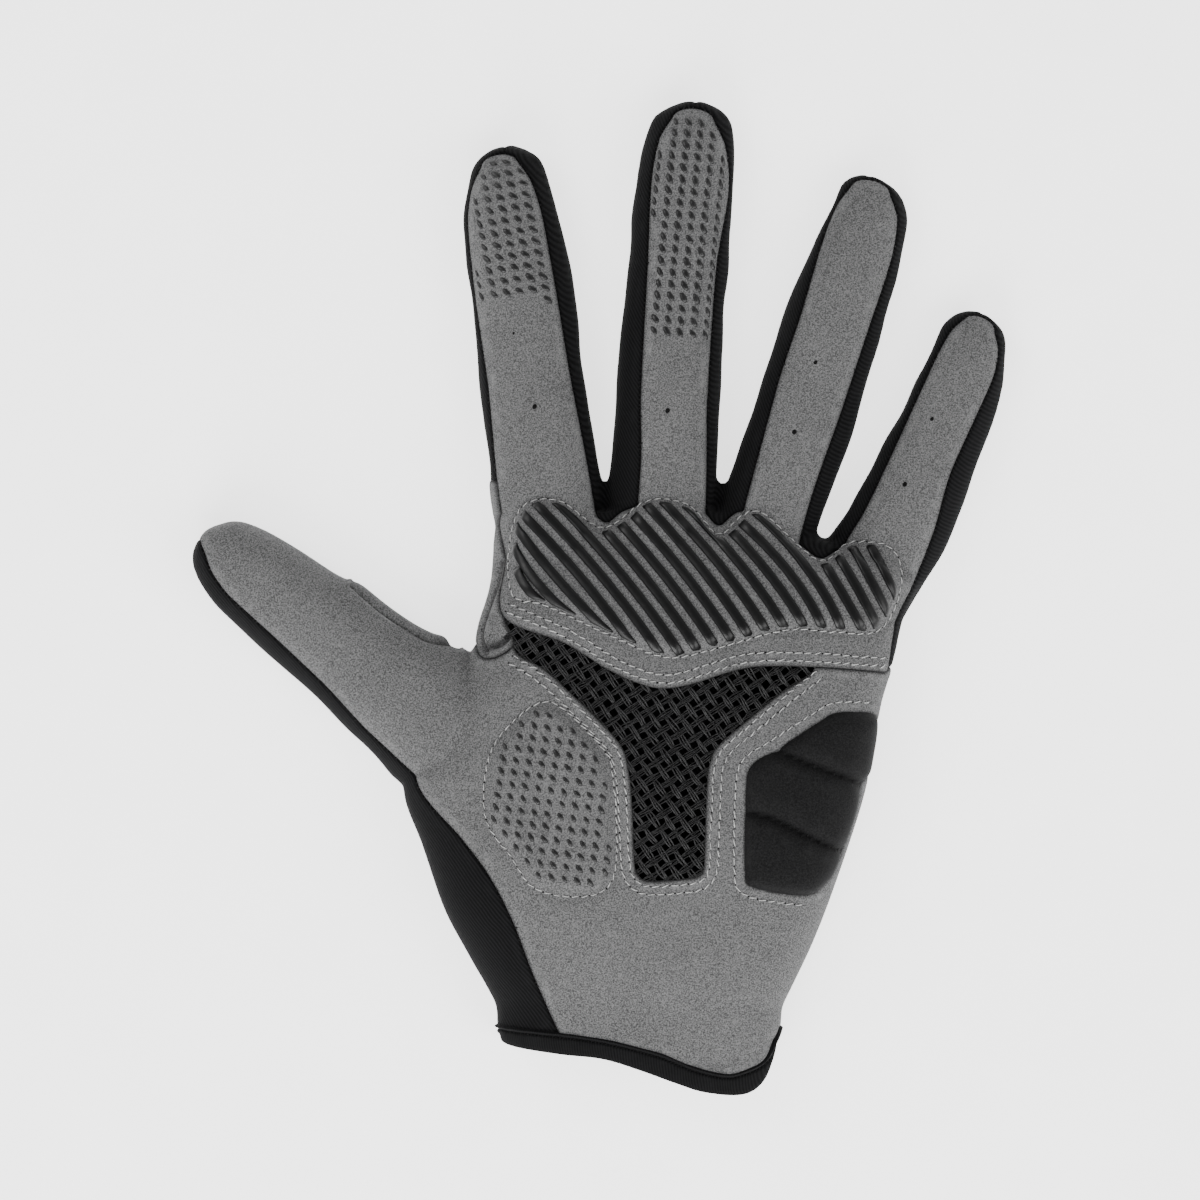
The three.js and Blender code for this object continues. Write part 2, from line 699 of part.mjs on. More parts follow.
// The longest stretch of a line inside an outline, as shares of the line
function insideStretch(from, to, outline) {
  const crossings = [];
  outline.forEach((a, k) => {
    const b = outline[(k + 1) % outline.length];
    const run = to.clone().sub(from);
    const edge = b.clone().sub(a);
    const bend = run.x * edge.y - run.y * edge.x;
    const gap = a.clone().sub(from);
    const alongRun = (gap.x * edge.y - gap.y * edge.x) / bend;
    const alongEdge = (gap.x * run.y - gap.y * run.x) / bend;
    if (alongEdge >= 0 && alongEdge < 1) crossings.push(alongRun);
  });
  crossings.sort((a, b) => a - b);
  const stretches = [];
  for (let k = 0; k + 1 < crossings.length; k += 2) {
    stretches.push([crossings[k], crossings[k + 1]]);
  }
  stretches.sort((a, b) => b[1] - b[0] - (a[1] - a[0]));
  return stretches[0];
}

function capsule(from, to, width, steps = 2) {
  const along = to.clone().sub(from).normalize();
  const start = Math.atan2(along.y, along.x);
  const points = [];
  [to, from].forEach((end, k) => {
    for (let step = 0; step <= steps; step += 1) {
      const angle = start + k * Math.PI + (step / steps - 0.5) * Math.PI;
      points.push(new THREE.Vector2(Math.cos(angle), Math.sin(angle)).multiplyScalar(width / 2).add(end));
    }
  });
  return points;
}

function stripeLines() {
  const edge = grow(knuckleEdge, -stripeWidth / 2);
  const drop = palmLength / 4;
  return stripeGroups.flatMap((group) => {
    const count = Math.max(1, Math.round((group.span * palmWidth) / stripePitch));
    return Array.from({ length: count }, (_, k) => {
      const share = count > 1 ? k / (count - 1) : 0;
      const lean = THREE.MathUtils.lerp(group.leanFirst, group.leanLast, share);
      const x = group.start * palmWidth + k * stripePitch;
      const y = knuckleLineY * palmLength;
      const from = new THREE.Vector2(x - lean * drop, y + drop);
      const to = new THREE.Vector2(x + lean * drop, y - drop);
      const stretch = insideStretch(from, to, edge);
      return stretch && stretch.map((t) => from.clone().lerp(to, t));
    });
  });
}
const stripeBase = gloveForm(knuckleTop + seamGap);
const stripeSkin = gloveForm(knuckleTop + seamGap + stripeRise);
const stripeLayer = stripeSkin.subtract(stripeBase);
stripeLines()
  .filter((line) => line && line[0].distanceTo(line[1]) > stripeWidth)
  .forEach(([from, to], k) => {
    const name = "grip_stripe_" + String(k + 1).padStart(2, "0");
    pieces[name] = stripeLayer.intersect(padRegion(capsule(from, to, stripeWidth)));
  });

// Materials
const suede = { color: 0x77787a, roughness: 0.95, metalness: 0 };
const knit = { color: 0x17181a, roughness: 0.9, metalness: 0 };
const looks = {
  palm_upper: suede,
  face_index: suede,
  face_middle: suede,
  face_ring: suede,
  face_little: suede,
  face_thumb: suede,
  palm_lower: suede,
  thumb_gusset: suede,
  knuckle_pad: { color: 0x7b7c7e, roughness: 0.95, metalness: 0 },
  thenar_pad: { color: 0x737476, roughness: 0.95, metalness: 0 },
  heel_pad: { color: 0x1b1b1d, roughness: 0.75, metalness: 0 },
  mesh_insert: { color: 0x101012, roughness: 0.8, metalness: 0 },
  cuff_binding: { color: 0x141416, roughness: 0.7, metalness: 0 },
};
const silicone = { color: 0x0b0b0c, roughness: 0.3, metalness: 0 };

// The main body of a cut piece, without slivers that a cut leaves beside it
function mainBody(solid) {
  const bodies = solid.decompose();
  return bodies.sort((a, b) => b.volume() - a.volume())[0];
}

function toMesh(name, solid) {
  const { vertProperties, triVerts } = mainBody(solid).getMesh();
  const geometry = new THREE.BufferGeometry();
  geometry.setAttribute("position", new THREE.BufferAttribute(new Float32Array(vertProperties), 3));
  geometry.setIndex(new THREE.BufferAttribute(new Uint32Array(triVerts), 1));
  geometry.computeVertexNormals();
  const look = looks[name] ?? (name.startsWith("grip_stripe") ? silicone : knit);
  const mesh = new THREE.Mesh(geometry, new THREE.MeshStandardMaterial(look));
  mesh.name = name;
  return mesh;
}

const group = new THREE.Group();
Object.entries(pieces).forEach(([name, solid]) => group.add(toMesh(name, solid)));

export default group;
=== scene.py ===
"""Full-finger cycling glove for the left hand, lying palm up on a pale table.

The glove's skin is one smooth form. Each cloth piece is cut from it along its seams, given a
thickness and rolled edges, and dressed with its own finish. Lengths in this file are millimetres
until a mesh is made; the scene itself is in metres.
"""

import logging
import math
from dataclasses import dataclass, field
from enum import Enum
from typing import Optional, Sequence

import bpy
import numpy as np
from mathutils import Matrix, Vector
from mathutils.bvhtree import BVHTree


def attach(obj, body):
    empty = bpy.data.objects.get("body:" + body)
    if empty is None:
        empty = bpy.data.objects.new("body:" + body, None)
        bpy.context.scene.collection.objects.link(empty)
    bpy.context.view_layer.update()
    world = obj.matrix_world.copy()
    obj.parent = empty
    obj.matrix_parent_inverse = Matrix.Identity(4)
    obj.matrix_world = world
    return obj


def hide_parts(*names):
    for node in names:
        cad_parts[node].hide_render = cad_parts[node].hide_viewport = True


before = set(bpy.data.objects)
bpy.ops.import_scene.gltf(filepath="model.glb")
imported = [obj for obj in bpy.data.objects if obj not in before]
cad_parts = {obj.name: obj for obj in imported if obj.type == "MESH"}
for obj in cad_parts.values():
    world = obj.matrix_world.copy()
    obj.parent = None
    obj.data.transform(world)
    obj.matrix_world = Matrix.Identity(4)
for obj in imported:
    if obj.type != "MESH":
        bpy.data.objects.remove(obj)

Array = np.ndarray
Table = Sequence[Sequence[float]]

log = logging.getLogger("glove")

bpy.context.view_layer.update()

MM = 0.001

# Main sizes, mm. The suede starts at the split height, the knit ends there.
PALM_WIDTH = 98.0
PALM_LENGTH = 132.0
PALM_THICKNESS = 21.0
EDGE_RADIUS = 13.0
SPLIT_HEIGHT = 5.2
CLOTH = 1.3

# Sections: height of the widest place as a share of the thickness, share of the crown in the top,
# and the largest share of a half width that an edge rounds off
SIDE_SHARE = 0.42
CROWN_SHARE = 0.14
EDGE_SHARE = 0.8

# Fingers: share of the length where they start inside the palm, where their suede starts, and
# how far its round tip bulges, as a share of its half width
FINGER_START = -0.25
PANEL_START = -0.07
TIP_BULGE = 0.55

# Mesh, mm: cell of the fused form, smallest cut, reach of the distance fields, clearance from the
# floor, loops beside seams and beside folds
VOXEL = 0.9
SNAP = 0.03
FAR = 8.0
FLOOR_GAP = 0.02
EDGE_LOOPS = (0.25, 0.6, 1.1, 1.8)
FOLD_LOOPS = (0.15, 0.35, 0.8, 1.5)

# Picture: mm a pixel, and the pixel over the origin
PIXEL = 0.225
PIXEL_CENTRE = (655.0, 760.0)


@dataclass(frozen=True)
class Finger:
    """One finger's axis in plan and its rows of widths, heights and seams.

    Rows are (at, left, right, rise, seam left, seam right): at is a share of the length, rise of
    the thickness, and the others of the width. Seams end before the tip.
    """

    root: tuple[float, float]
    lean: float
    length: float
    width: float
    thickness: float
    rows: Table

    def point(self, at: Array | float, sideways: Array | float) -> Array:
        """Place points in plan.

        Args:
            at: Shares of the length along the axis.
            sideways: Distances to the right of the axis, mm.

        Returns:
            Plan points, one row for each.
        """
        lean = math.radians(self.lean)
        along = np.asarray(at, float) * self.length
        side = np.asarray(sideways, float)
        x = self.root[0] * PALM_WIDTH + math.sin(lean) * along + math.cos(lean) * side
        y = self.root[1] * PALM_LENGTH + math.cos(lean) * along - math.sin(lean) * side
        return np.stack([x, y], axis=-1)

    def column(self, index: int, at: Array) -> Array:
        """Read one column of the rows smoothly.

        Args:
            index: Column number.
            at: Shares of the length.

        Returns:
            The column's values there.
        """
        rows = [row for row in self.rows if len(row) > index]
        return ease([row[0] for row in rows], [row[index] for row in rows], at)

    def panel(self) -> Array:
        """Outline of the palm-side suede panel in plan.

        Returns:
            Its points, from the left root round the tip to the right root.
        """
        last = max(row[0] for row in self.rows if len(row) > 4)
        at = np.concatenate([[PANEL_START], np.linspace(0.0, last, 40)])
        left = self.point(at, -self.width * self.column(4, at))
        right = self.point(at, self.width * self.column(5, at))
        tip_left, tip_right = self.column(4, np.array([last])), self.column(5, np.array([last]))
        middle = self.width * float(tip_right[0] - tip_left[0]) / 2
        reach = self.width * float(tip_right[0] + tip_left[0]) / 2
        turn = np.linspace(0.85, 0.15, 7) * math.pi
        rise = last + TIP_BULGE * reach / self.length * np.sin(turn)
        cap = self.point(rise, middle + reach * np.cos(turn))
        return np.concatenate([left, cap, right[::-1]])


FINGERS: dict[str, Finger] = {
    "index": Finger((-0.227, 0.409), -7.8, 84.5, 24.0, 14.0, (
        (-0.25, 0.56, 0.45, 1.12),
        (0.0, 0.56, 0.45, 1.08, 0.49, 0.38),
        (0.1, 0.565, 0.46, 1.04, 0.5, 0.37),
        (0.4, 0.55, 0.44, 1.0, 0.463, 0.315),
        (0.6, 0.515, 0.455, 0.97, 0.472, 0.295),
        (0.72, 0.502, 0.452, 0.94, 0.462, 0.277),
        (0.8, 0.49, 0.418, 0.9, 0.45, 0.262),
        (0.9, 0.408, 0.355, 0.8, 0.37, 0.2),
        (0.955, 0.345, 0.295, 0.66, 0.25, 0.1),
        (0.985, 0.245, 0.17, 0.5),
        (1.0, 0.12, 0.06, 0.34),
    )),
    "middle": Finger((0.012, 0.409), 4.8, 94.2, 23.0, 14.0, (
        (-0.25, 0.52, 0.52, 1.12),
        (0.0, 0.52, 0.53, 1.08, 0.24, 0.44),
        (0.1, 0.525, 0.535, 1.04, 0.24, 0.42),
        (0.3, 0.525, 0.485, 1.0, 0.3, 0.36),
        (0.6, 0.54, 0.46, 0.97, 0.338, 0.34),
        (0.8, 0.505, 0.44, 0.9, 0.368, 0.4),
        (0.9, 0.456, 0.42, 0.8, 0.33, 0.33),
        (0.955, 0.4, 0.37, 0.66, 0.22, 0.2),
        (0.985, 0.25, 0.26, 0.5),
        (1.0, 0.09, 0.1, 0.34),
    )),
    "ring": Finger((0.259, 0.366), 15.2, 86.6, 23.0, 13.5, (
        (-0.25, 0.54, 0.43, 1.12),
        (0.0, 0.56, 0.43, 1.08, 0.33, 0.28),
        (0.1, 0.565, 0.44, 1.04, 0.33, 0.28),
        (0.4, 0.468, 0.52, 1.0, 0.33, 0.35),
        (0.6, 0.41, 0.535, 0.97, 0.29, 0.39),
        (0.8, 0.343, 0.52, 0.9, 0.27, 0.43),
        (0.9, 0.284, 0.485, 0.8, 0.225, 0.39),
        (0.955, 0.25, 0.405, 0.66, 0.14, 0.26),
        (0.985, 0.155, 0.285, 0.5),
        (1.0, 0.05, 0.13, 0.34),
    )),
    "little": Finger((0.466, 0.29), 24.1, 68.3, 21.6, 12.5, (
        (-0.25, 0.51, 0.5, 1.12),
        (0.0, 0.52, 0.56, 1.08, 0.36, 0.47),
        (0.1, 0.515, 0.6, 1.04, 0.344, 0.49),
        (0.25, 0.43, 0.655, 1.02, 0.285, 0.47),
        (0.5, 0.375, 0.61, 0.97, 0.265, 0.37),
        (0.8, 0.344, 0.52, 0.9, 0.255, 0.38),
        (0.9, 0.328, 0.417, 0.8, 0.229, 0.32),
        (0.955, 0.25, 0.34, 0.66, 0.15, 0.2),
        (0.985, 0.145, 0.24, 0.5),
        (1.0, 0.05, 0.11, 0.34),
    )),
    "thumb": Finger((-0.493, 0.026), -48.2, 70.9, 25.7, 15.0, (
        (-0.25, 0.44, 0.62, 1.2),
        (-0.04, 0.45, 0.7, 1.22, 0.331, 1.0),
        (0.033, 0.478, 0.73, 1.21, 0.33, 1.0),
        (0.126, 0.44, 0.765, 1.16, 0.327, 1.0),
        (0.19, 0.424, 0.715, 1.13, 0.325, 1.0),
        (0.26, 0.424, 0.66, 1.09, 0.312, 1.0),
        (0.32, 0.425, 0.61, 1.05, 0.295, 1.0),
        (0.4, 0.425, 0.578, 1.02, 0.276, 1.0),
        (0.55, 0.423, 0.528, 0.98, 0.263, 1.0),
        (0.6, 0.421, 0.497, 0.97, 0.259, 1.0),
        (0.8, 0.4, 0.417, 0.9, 0.254, 1.0),
        (0.9, 0.346, 0.338, 0.8, 0.2, 1.0),
        (0.955, 0.28, 0.26, 0.66, 0.12, 1.0),
        (0.985, 0.2, 0.14, 0.5),
        (1.0, 0.1, 0.05, 0.34),
    )),
}

# Palm rows: y as a share of the palm's length, left and right of its width, rise of its thickness
PALM_ROWS: Table = (
    (-0.6, 0.358, 0.28, 0.76),
    (-0.426, 0.362, 0.284, 0.83),
    (-0.384, 0.388, 0.307, 0.87),
    (-0.355, 0.411, 0.327, 0.895),
    (-0.319, 0.436, 0.351, 0.92),
    (-0.237, 0.491, 0.397, 0.97),
    (-0.141, 0.537, 0.443, 1.0),
    (-0.043, 0.576, 0.481, 1.0),
    (0.026, 0.528, 0.502, 0.98),
    (0.102, 0.47, 0.52, 0.96),
    (0.17, 0.421, 0.545, 0.92),
    (0.239, 0.403, 0.568, 0.87),
    (0.273, 0.388, 0.59, 0.84),
    (0.307, 0.376, 0.612, 0.8),
    (0.354, 0.369, 0.48, 0.74),
    (0.392, 0.365, 0.333, 0.68),
    (0.423, 0.264, 0.183, 0.62),
)

# Outlines in plan: x as a share of the palm's width, y of its length
KNUCKLE_BAND: Table = (
    (-0.349, 0.423), (-0.344, 0.341), (-0.346, 0.245), (-0.209, 0.201), (-0.112, 0.157),
    (-0.041, 0.133), (0.011, 0.124), (0.076, 0.13), (0.211, 0.159), (0.358, 0.16),
    (0.49, 0.153), (0.527, 0.151), (0.532, 0.166), (0.541, 0.21), (0.552, 0.256),
    (0.578, 0.307), (0.493, 0.355), (0.424, 0.361), (0.378, 0.344), (0.333, 0.366),
    (0.264, 0.409), (0.19, 0.423), (0.144, 0.399), (0.103, 0.426), (0.011, 0.435),
    (-0.069, 0.426), (-0.112, 0.404), (-0.149, 0.423), (-0.218, 0.435),
)
BAND_LOWER = slice(2, 12)
NET_FIELD: Table = (
    (-0.339, 0.252), (-0.319, 0.186), (-0.255, 0.157), (-0.183, 0.109), (-0.124, 0.066),
    (-0.08, 0.029), (-0.064, -0.005), (-0.055, -0.063), (-0.048, -0.172), (-0.039, -0.191),
    (-0.016, -0.201), (0.08, -0.196), (0.103, -0.189), (0.11, -0.172), (0.117, -0.039),
    (0.124, 0.0), (0.144, 0.029), (0.211, 0.072), (0.28, 0.114), (0.36, 0.16),
    (0.211, 0.18), (0.011, 0.15), (-0.112, 0.18), (-0.209, 0.222),
)
NET_LOWER = slice(1, 20)
HEEL_FIELD: Table = (
    (-0.493, 0.187), (-0.323, 0.205), (-0.218, 0.17), (0.36, 0.17), (0.525, 0.155),
    (0.642, 0.143), (0.642, -0.62), (-0.15, -0.62), (-0.216, -0.47), (-0.245, -0.419),
    (-0.28, -0.358), (-0.326, -0.268), (-0.378, -0.193), (-0.438, -0.133), (-0.544, -0.036),
    (-0.516, 0.051),
)
GUSSET_FIELD: Table = (
    (-0.459, 0.47), (-0.36, 0.47), (-0.349, 0.404), (-0.344, 0.341), (-0.346, 0.245),
    (-0.324, 0.205), (-0.329, 0.191), (-0.349, 0.181), (-0.367, 0.175), (-0.386, 0.173),
    (-0.4, 0.177), (-0.409, 0.19), (-0.416, 0.22), (-0.42, 0.3),
)
KNUCKLE_PAD: Table = (
    (-0.305, 0.43), (-0.22, 0.441), (-0.119, 0.394), (-0.021, 0.44), (0.076, 0.433),
    (0.144, 0.382), (0.197, 0.416), (0.248, 0.418), (0.372, 0.339), (0.443, 0.37),
    (0.54, 0.36), (0.56, 0.297), (0.51, 0.222), (0.404, 0.219), (0.294, 0.222),
    (0.112, 0.186), (0.016, 0.177), (-0.112, 0.216), (-0.259, 0.266), (-0.323, 0.278),
    (-0.335, 0.353),
)
THENAR_PAD: Table = (
    (-0.28, 0.094), (-0.22, 0.094), (-0.122, 0.024), (-0.098, -0.02), (-0.089, -0.159),
    (-0.115, -0.215), (-0.197, -0.227), (-0.28, -0.21), (-0.33, -0.158), (-0.383, -0.102),
    (-0.388, -0.027), (-0.362, 0.035),
)
HEEL_PAD: Table = (
    (0.369, 0.068), (0.41, 0.084), (0.49, 0.083), (0.508, 0.066), (0.499, 0.008),
    (0.488, -0.026), (0.471, -0.04), (0.466, -0.062), (0.454, -0.1), (0.417, -0.174),
    (0.392, -0.205), (0.34, -0.227), (0.218, -0.212), (0.2, -0.185), (0.202, -0.049),
    (0.214, -0.006), (0.262, 0.017), (0.278, 0.019), (0.286, 0.028),
)
# The heel pad's stitch line runs from this point on to the second last, and on to this one
HEEL_STITCH_FROM = 11
HEEL_STITCH_TO = 3

# Open lines in plan, as shares like the outlines
HEEL_GROOVES: Sequence[Table] = (
    ((0.18, 0.045), (0.264, 0.022), (0.427, -0.027), (0.56, -0.063)),
    ((0.12, -0.086), (0.243, -0.09), (0.397, -0.145), (0.56, -0.178)),
)
CUFF_TOP: Table = (
    (-0.36, -0.448), (-0.22, -0.457), (-0.122, -0.467), (-0.05, -0.479), (0.021, -0.494),
    (0.089, -0.515), (0.161, -0.527), (0.206, -0.52), (0.245, -0.505), (0.268, -0.474),
    (0.28, -0.45),
)
CUFF_LOW: Table = (
    (-0.358, -0.464), (-0.342, -0.481), (-0.222, -0.495), (-0.122, -0.503), (-0.037, -0.522),
    (0.044, -0.544), (0.112, -0.56), (0.197, -0.565), (0.245, -0.547), (0.268, -0.512),
    (0.284, -0.47),
)
THUMB_FOLD: Table = (
    (-0.697, 0.297), (-0.653, 0.268), (-0.604, 0.24), (-0.555, 0.216), (-0.517, 0.202),
    (-0.468, 0.196), (-0.448, 0.189),
)
GUSSET_FOLD: Table = (
    (-0.351, 0.341), (-0.36, 0.303), (-0.377, 0.266), (-0.393, 0.23), (-0.397, 0.201),
    (-0.392, 0.186), (-0.38, 0.178),
)
GUSSET_HEM: Table = ((-0.379, 0.177), (-0.352, 0.187), (-0.334, 0.197), (-0.326, 0.209))
GUSSET_HOLLOW: Table = ((-0.385, 0.193), (-0.358, 0.197), (-0.338, 0.208))
HEEL_CREASE: Table = ((0.09, -0.508), (0.18, -0.507), (0.235, -0.494), (0.262, -0.474))


def from_picture(pixels: Array) -> Array:
    """Plan points of spots measured in the picture, mm."""
    return (np.asarray(pixels, float) - PIXEL_CENTRE) * [PIXEL, -PIXEL]


def ease(knots: Sequence[float], values: Sequence[float], at: Array) -> Array:
    """Run a smooth curve through a short table, without overshoot.

    Args:
        knots: Places of the table's rows, rising.
        values: Values of the rows.
        at: Where the curve is read.

    Returns:
        The curve's values.
    """
    x, y = np.asarray(knots, float), np.asarray(values, float)
    step, slope = np.diff(x), np.diff(y) / np.diff(x)
    tangent = np.concatenate([[slope[0]], np.zeros(len(x) - 2), [slope[-1]]])
    same = slope[1:] * slope[:-1] > 0
    first, second = 2 * step[1:] + step[:-1], step[1:] + 2 * step[:-1]
    with np.errstate(divide="ignore", invalid="ignore"):
        mean = (first + second) / (first / slope[:-1] + second / slope[1:])
    tangent[1:-1] = np.where(same, mean, 0.0)
    spot = np.clip(at, x[0], x[-1])
    k = np.clip(np.searchsorted(x, spot) - 1, 0, len(x) - 2)
    t = (spot - x[k]) / step[k]
    return (
        y[k] * (1 + 2 * t) * (1 - t) ** 2 + tangent[k] * step[k] * t * (1 - t) ** 2
        + y[k + 1] * t * t * (3 - 2 * t) + tangent[k + 1] * step[k] * t * t * (t - 1)
    )


def place(rows: Table) -> Array:
    """Turn shares of the palm into plan points, mm."""
    return np.array(rows, float) * [PALM_WIDTH, PALM_LENGTH]


def curve(points: Array, spacing: float, closed: bool) -> Array:
    """Run a rounded line through plan points.

    Args:
        points: Corner points.
        spacing: Distance between the points given back, mm.
        closed: Whether the line joins up.

    Returns:
        Evenly spaced points on the line.
    """
    if closed:
        control = np.concatenate([points[-1:], points, points[:2]])
    else:
        control = np.concatenate([
            [2 * points[0] - points[1]], points, [2 * points[-1] - points[-2]],
        ])
    t = np.linspace(0, 1, 17)[:-1, None]
    stretches = []
    for k in range(1, len(control) - 2):
        a, b, c, d = control[k - 1:k + 3]
        stretches.append(0.5 * (
            2 * b + (c - a) * t + (2 * a - 5 * b + 4 * c - d) * t ** 2
            + (3 * b - a - 3 * c + d) * t ** 3
        ))
    line = np.concatenate([*stretches, control[-2:-1]])
    return resample(line, spacing)[:-1] if closed else resample(line, spacing)


def resample(line: Array, spacing: float) -> Array:
    """Space points evenly on a line, both ends kept.

    Args:
        line: Points of the line.
        spacing: Distance wanted, mm.

    Returns:
        The evenly spaced points.
    """
    run = np.concatenate([[0.0], np.cumsum(np.linalg.norm(np.diff(line, axis=0), axis=1))])
    count = max(2, int(round(run[-1] / spacing)) + 1)
    at = np.linspace(0.0, run[-1], count)
    return np.stack([np.interp(at, run, line[:, k]) for k in range(line.shape[1])], axis=1)


def directions(line: Array) -> Array:
    """Unit directions along a line's points."""
    steps = np.gradient(line, axis=0)
    return steps / np.maximum(np.linalg.norm(steps, axis=1, keepdims=True), 1e-9)


def beside(line: Array, distance: float) -> Array:
    """Move a plan line to its left by a distance."""
    run = directions(line)
    return line + distance * np.stack([-run[:, 1], run[:, 0]], axis=1)


def line_distance(line: Array, spots: Array, closed: bool) -> Array:
    """Measure how far plan points are from a line, up to FAR.

    Args:
        line: Points of the line.
        spots: Plan points.
        closed: Whether the line joins up.

    Returns:
        Distances, mm.
    """
    result = np.full(len(spots), FAR)
    near = np.all((spots > line.min(0) - FAR) & (spots < line.max(0) + FAR), axis=1)
    start = line if closed else line[:-1]
    run = (np.roll(line, -1, axis=0) if closed else line[1:]) - start
    size = np.maximum((run ** 2).sum(1), 1e-12)
    index = np.flatnonzero(near)
    for block in np.array_split(index, max(1, len(index) // 4000)):
        gap = spots[block][:, None, :] - start[None]
        t = np.clip((gap * run).sum(2) / size, 0, 1)
        apart = ((gap - t[..., None] * run) ** 2).sum(2)
        result[block] = np.sqrt(apart.min(1))
    return np.minimum(result, FAR)


def inside(outline: Array, spots: Array) -> Array:
    """Tell which plan points lie inside a closed outline.

    Args:
        outline: Points of the outline.
        spots: Plan points.

    Returns:
        True for each point inside.
    """
    odd = np.zeros(len(spots), bool)
    near = np.flatnonzero(np.all((spots > outline.min(0)) & (spots < outline.max(0)), axis=1))
    x, y = spots[near, 0], spots[near, 1]
    flag = np.zeros(len(near), bool)
    for a, b in zip(outline, np.roll(outline, -1, axis=0)):
        if a[1] == b[1]:
            continue
        between = (a[1] > y) != (b[1] > y)
        flag ^= between & (x < (b[0] - a[0]) * (y - a[1]) / (b[1] - a[1]) + a[0])
    odd[near] = flag
    return odd


def depth_inside(outline: Array, spots: Array) -> Array:
    """Distance to a closed outline, above zero inside it, mm."""
    distance = line_distance(outline, spots, True)
    return np.where(inside(outline, spots), distance, -distance)


def above_line(points: Array, spots: Array) -> Array:
    """Distance above a line that runs from left to right across the plan, mm.

    Args:
        points: The line's corner points.
        spots: Plan points.

    Returns:
        Distances, below zero under the line.
    """
    line = curve(points, 1.0, False)
    ends = line[[0, -1]] + np.array([[-40.0, 0.0], [40.0, 0.0]])
    line = np.concatenate([ends[:1], line, ends[1:]])
    above = spots[:, 1] > np.interp(spots[:, 0], line[:, 0], line[:, 1])
    distance = line_distance(line, spots, False)
    return np.where(above, distance, -distance)


def rolled(distance: Array, radius: float) -> Array:
    """Quarter-round from 0 at an edge to 1 at the radius and beyond."""
    step = np.clip(distance / radius, 0, 1)
    return np.sqrt(1 - (1 - step) ** 2)


def soft_step(value: Array, low: float, high: float) -> Array:
    """Smooth step from 0 at low to 1 at high."""
    t = np.clip((value - low) / (high - low), 0, 1)
    return t * t * (3 - 2 * t)


def bell(distance: Array, width: float) -> Array:
    """Bump of height 1 at 0 that falls off over a width."""
    return np.exp(-(distance / width) ** 2)


@dataclass(frozen=True)
class Ripple:
    """A gentle random wave field in space, made of a few plane waves."""

    wavelength: float
    amplitude: float
    seed: int
    waves: int = 9

    def at(self, points: Array) -> Array:
        """Read the field.

        Args:
            points: Points in space, mm.

        Returns:
            Heights, mm.
        """
        random = np.random.default_rng(self.seed)
        total = np.zeros(len(points))
        for _ in range(self.waves):
            way = random.normal(size=3)
            way *= 2 * math.pi / (self.wavelength * random.uniform(0.7, 1.5) * np.linalg.norm(way))
            total += np.sin(points @ way + random.uniform(0, 2 * math.pi))
        return self.amplitude * total / math.sqrt(self.waves)


def section(left: float, right: float, base: float, thickness: float) -> Array:
    """One closed ring of a palm or finger section, in its own plane.

    Args:
        left: Reach to the left of the axis, mm.
        right: Reach to the right, mm.
        base: Height of the flat underside, mm.
        thickness: Height of the crown over the base, mm.

    Returns:
        Rows of (sideways, height).
    """
    half, middle = (left + right) / 2, (right - left) / 2
    side = base + SIDE_SHARE * thickness
    s = -half * np.cos(np.linspace(0, math.pi, 37))
    fall = rolled(half - np.abs(s), min(EDGE_RADIUS, EDGE_SHARE * half))
    crown = (1 - CROWN_SHARE) * fall + CROWN_SHARE * (1 - (s / half) ** 2)
    top = side + (base + thickness - side) * crown
    under = rolled(half - np.abs(s), min(side - base, EDGE_SHARE * half))
    low = side - (side - base) * under
    over = np.stack([s + middle, top], axis=1)
    below = np.stack([s + middle, low], axis=1)[1:-1]
    return np.concatenate([over, below[::-1]])


def loft(rings: Array, offset: int) -> tuple[Array, list[tuple[int, ...]]]:
    """Close a tube through rings of equal length.

    Args:
        rings: Rings of points, ring by ring.
        offset: Index of the first point in the joined list.

    Returns:
        The points and the faces.
    """
    count, size = rings.shape[0], rings.shape[1]
    faces: list[tuple[int, ...]] = []
    for ring in range(count - 1):
        for k in range(size):
            a, b = ring * size + k, ring * size + (k + 1) % size
            faces.append((offset + a, offset + b, offset + b + size, offset + a + size))
    last = (count - 1) * size + offset
    faces.append(tuple(offset + k for k in reversed(range(size))))
    faces.append(tuple(last + k for k in range(size)))
    return rings.reshape(-1, 3), faces


def finger_rings(finger: Finger) -> Array:
    """Rings of one finger from inside the palm to its tip.

    Args:
        finger: The finger.

    Returns:
        Rings of points, ring by ring, mm.
    """
    shaft, tip = np.linspace(FINGER_START, 0.9, 70), np.linspace(0.9, 1.0, 24)
    at = np.unique(np.concatenate([shaft, tip]))
    rings = []
    for spot, left, right, rise in zip(at, *(finger.column(k, at) for k in (1, 2, 3))):
        base = SIDE_SHARE * max(0.0, 1 - rise) * finger.thickness
        ring = section(left * finger.width, right * finger.width, base, rise * finger.thickness)
        plan = finger.point(np.full(len(ring), spot), ring[:, 0])
        rings.append(np.column_stack([plan, ring[:, 1]]))
    return np.array(rings)


def palm_rings() -> Array:
    """Rings of the palm from below the cuff to the finger crotches.

    Returns:
        Rings of points, ring by ring, mm.
    """
    table = np.array(PALM_ROWS)
    at = np.linspace(table[0, 0], table[-1, 0], 120)
    left, right, rise = (ease(table[:, 0], table[:, k], at) for k in (1, 2, 3))
    rings = []
    for k, spot in enumerate(at):
        ring = section(left[k] * PALM_WIDTH, right[k] * PALM_WIDTH, 0.0, rise[k] * PALM_THICKNESS)
        rings.append(np.column_stack([
            ring[:, 0], np.full(len(ring), spot * PALM_LENGTH), ring[:, 1],
        ]))
    return np.array(rings)


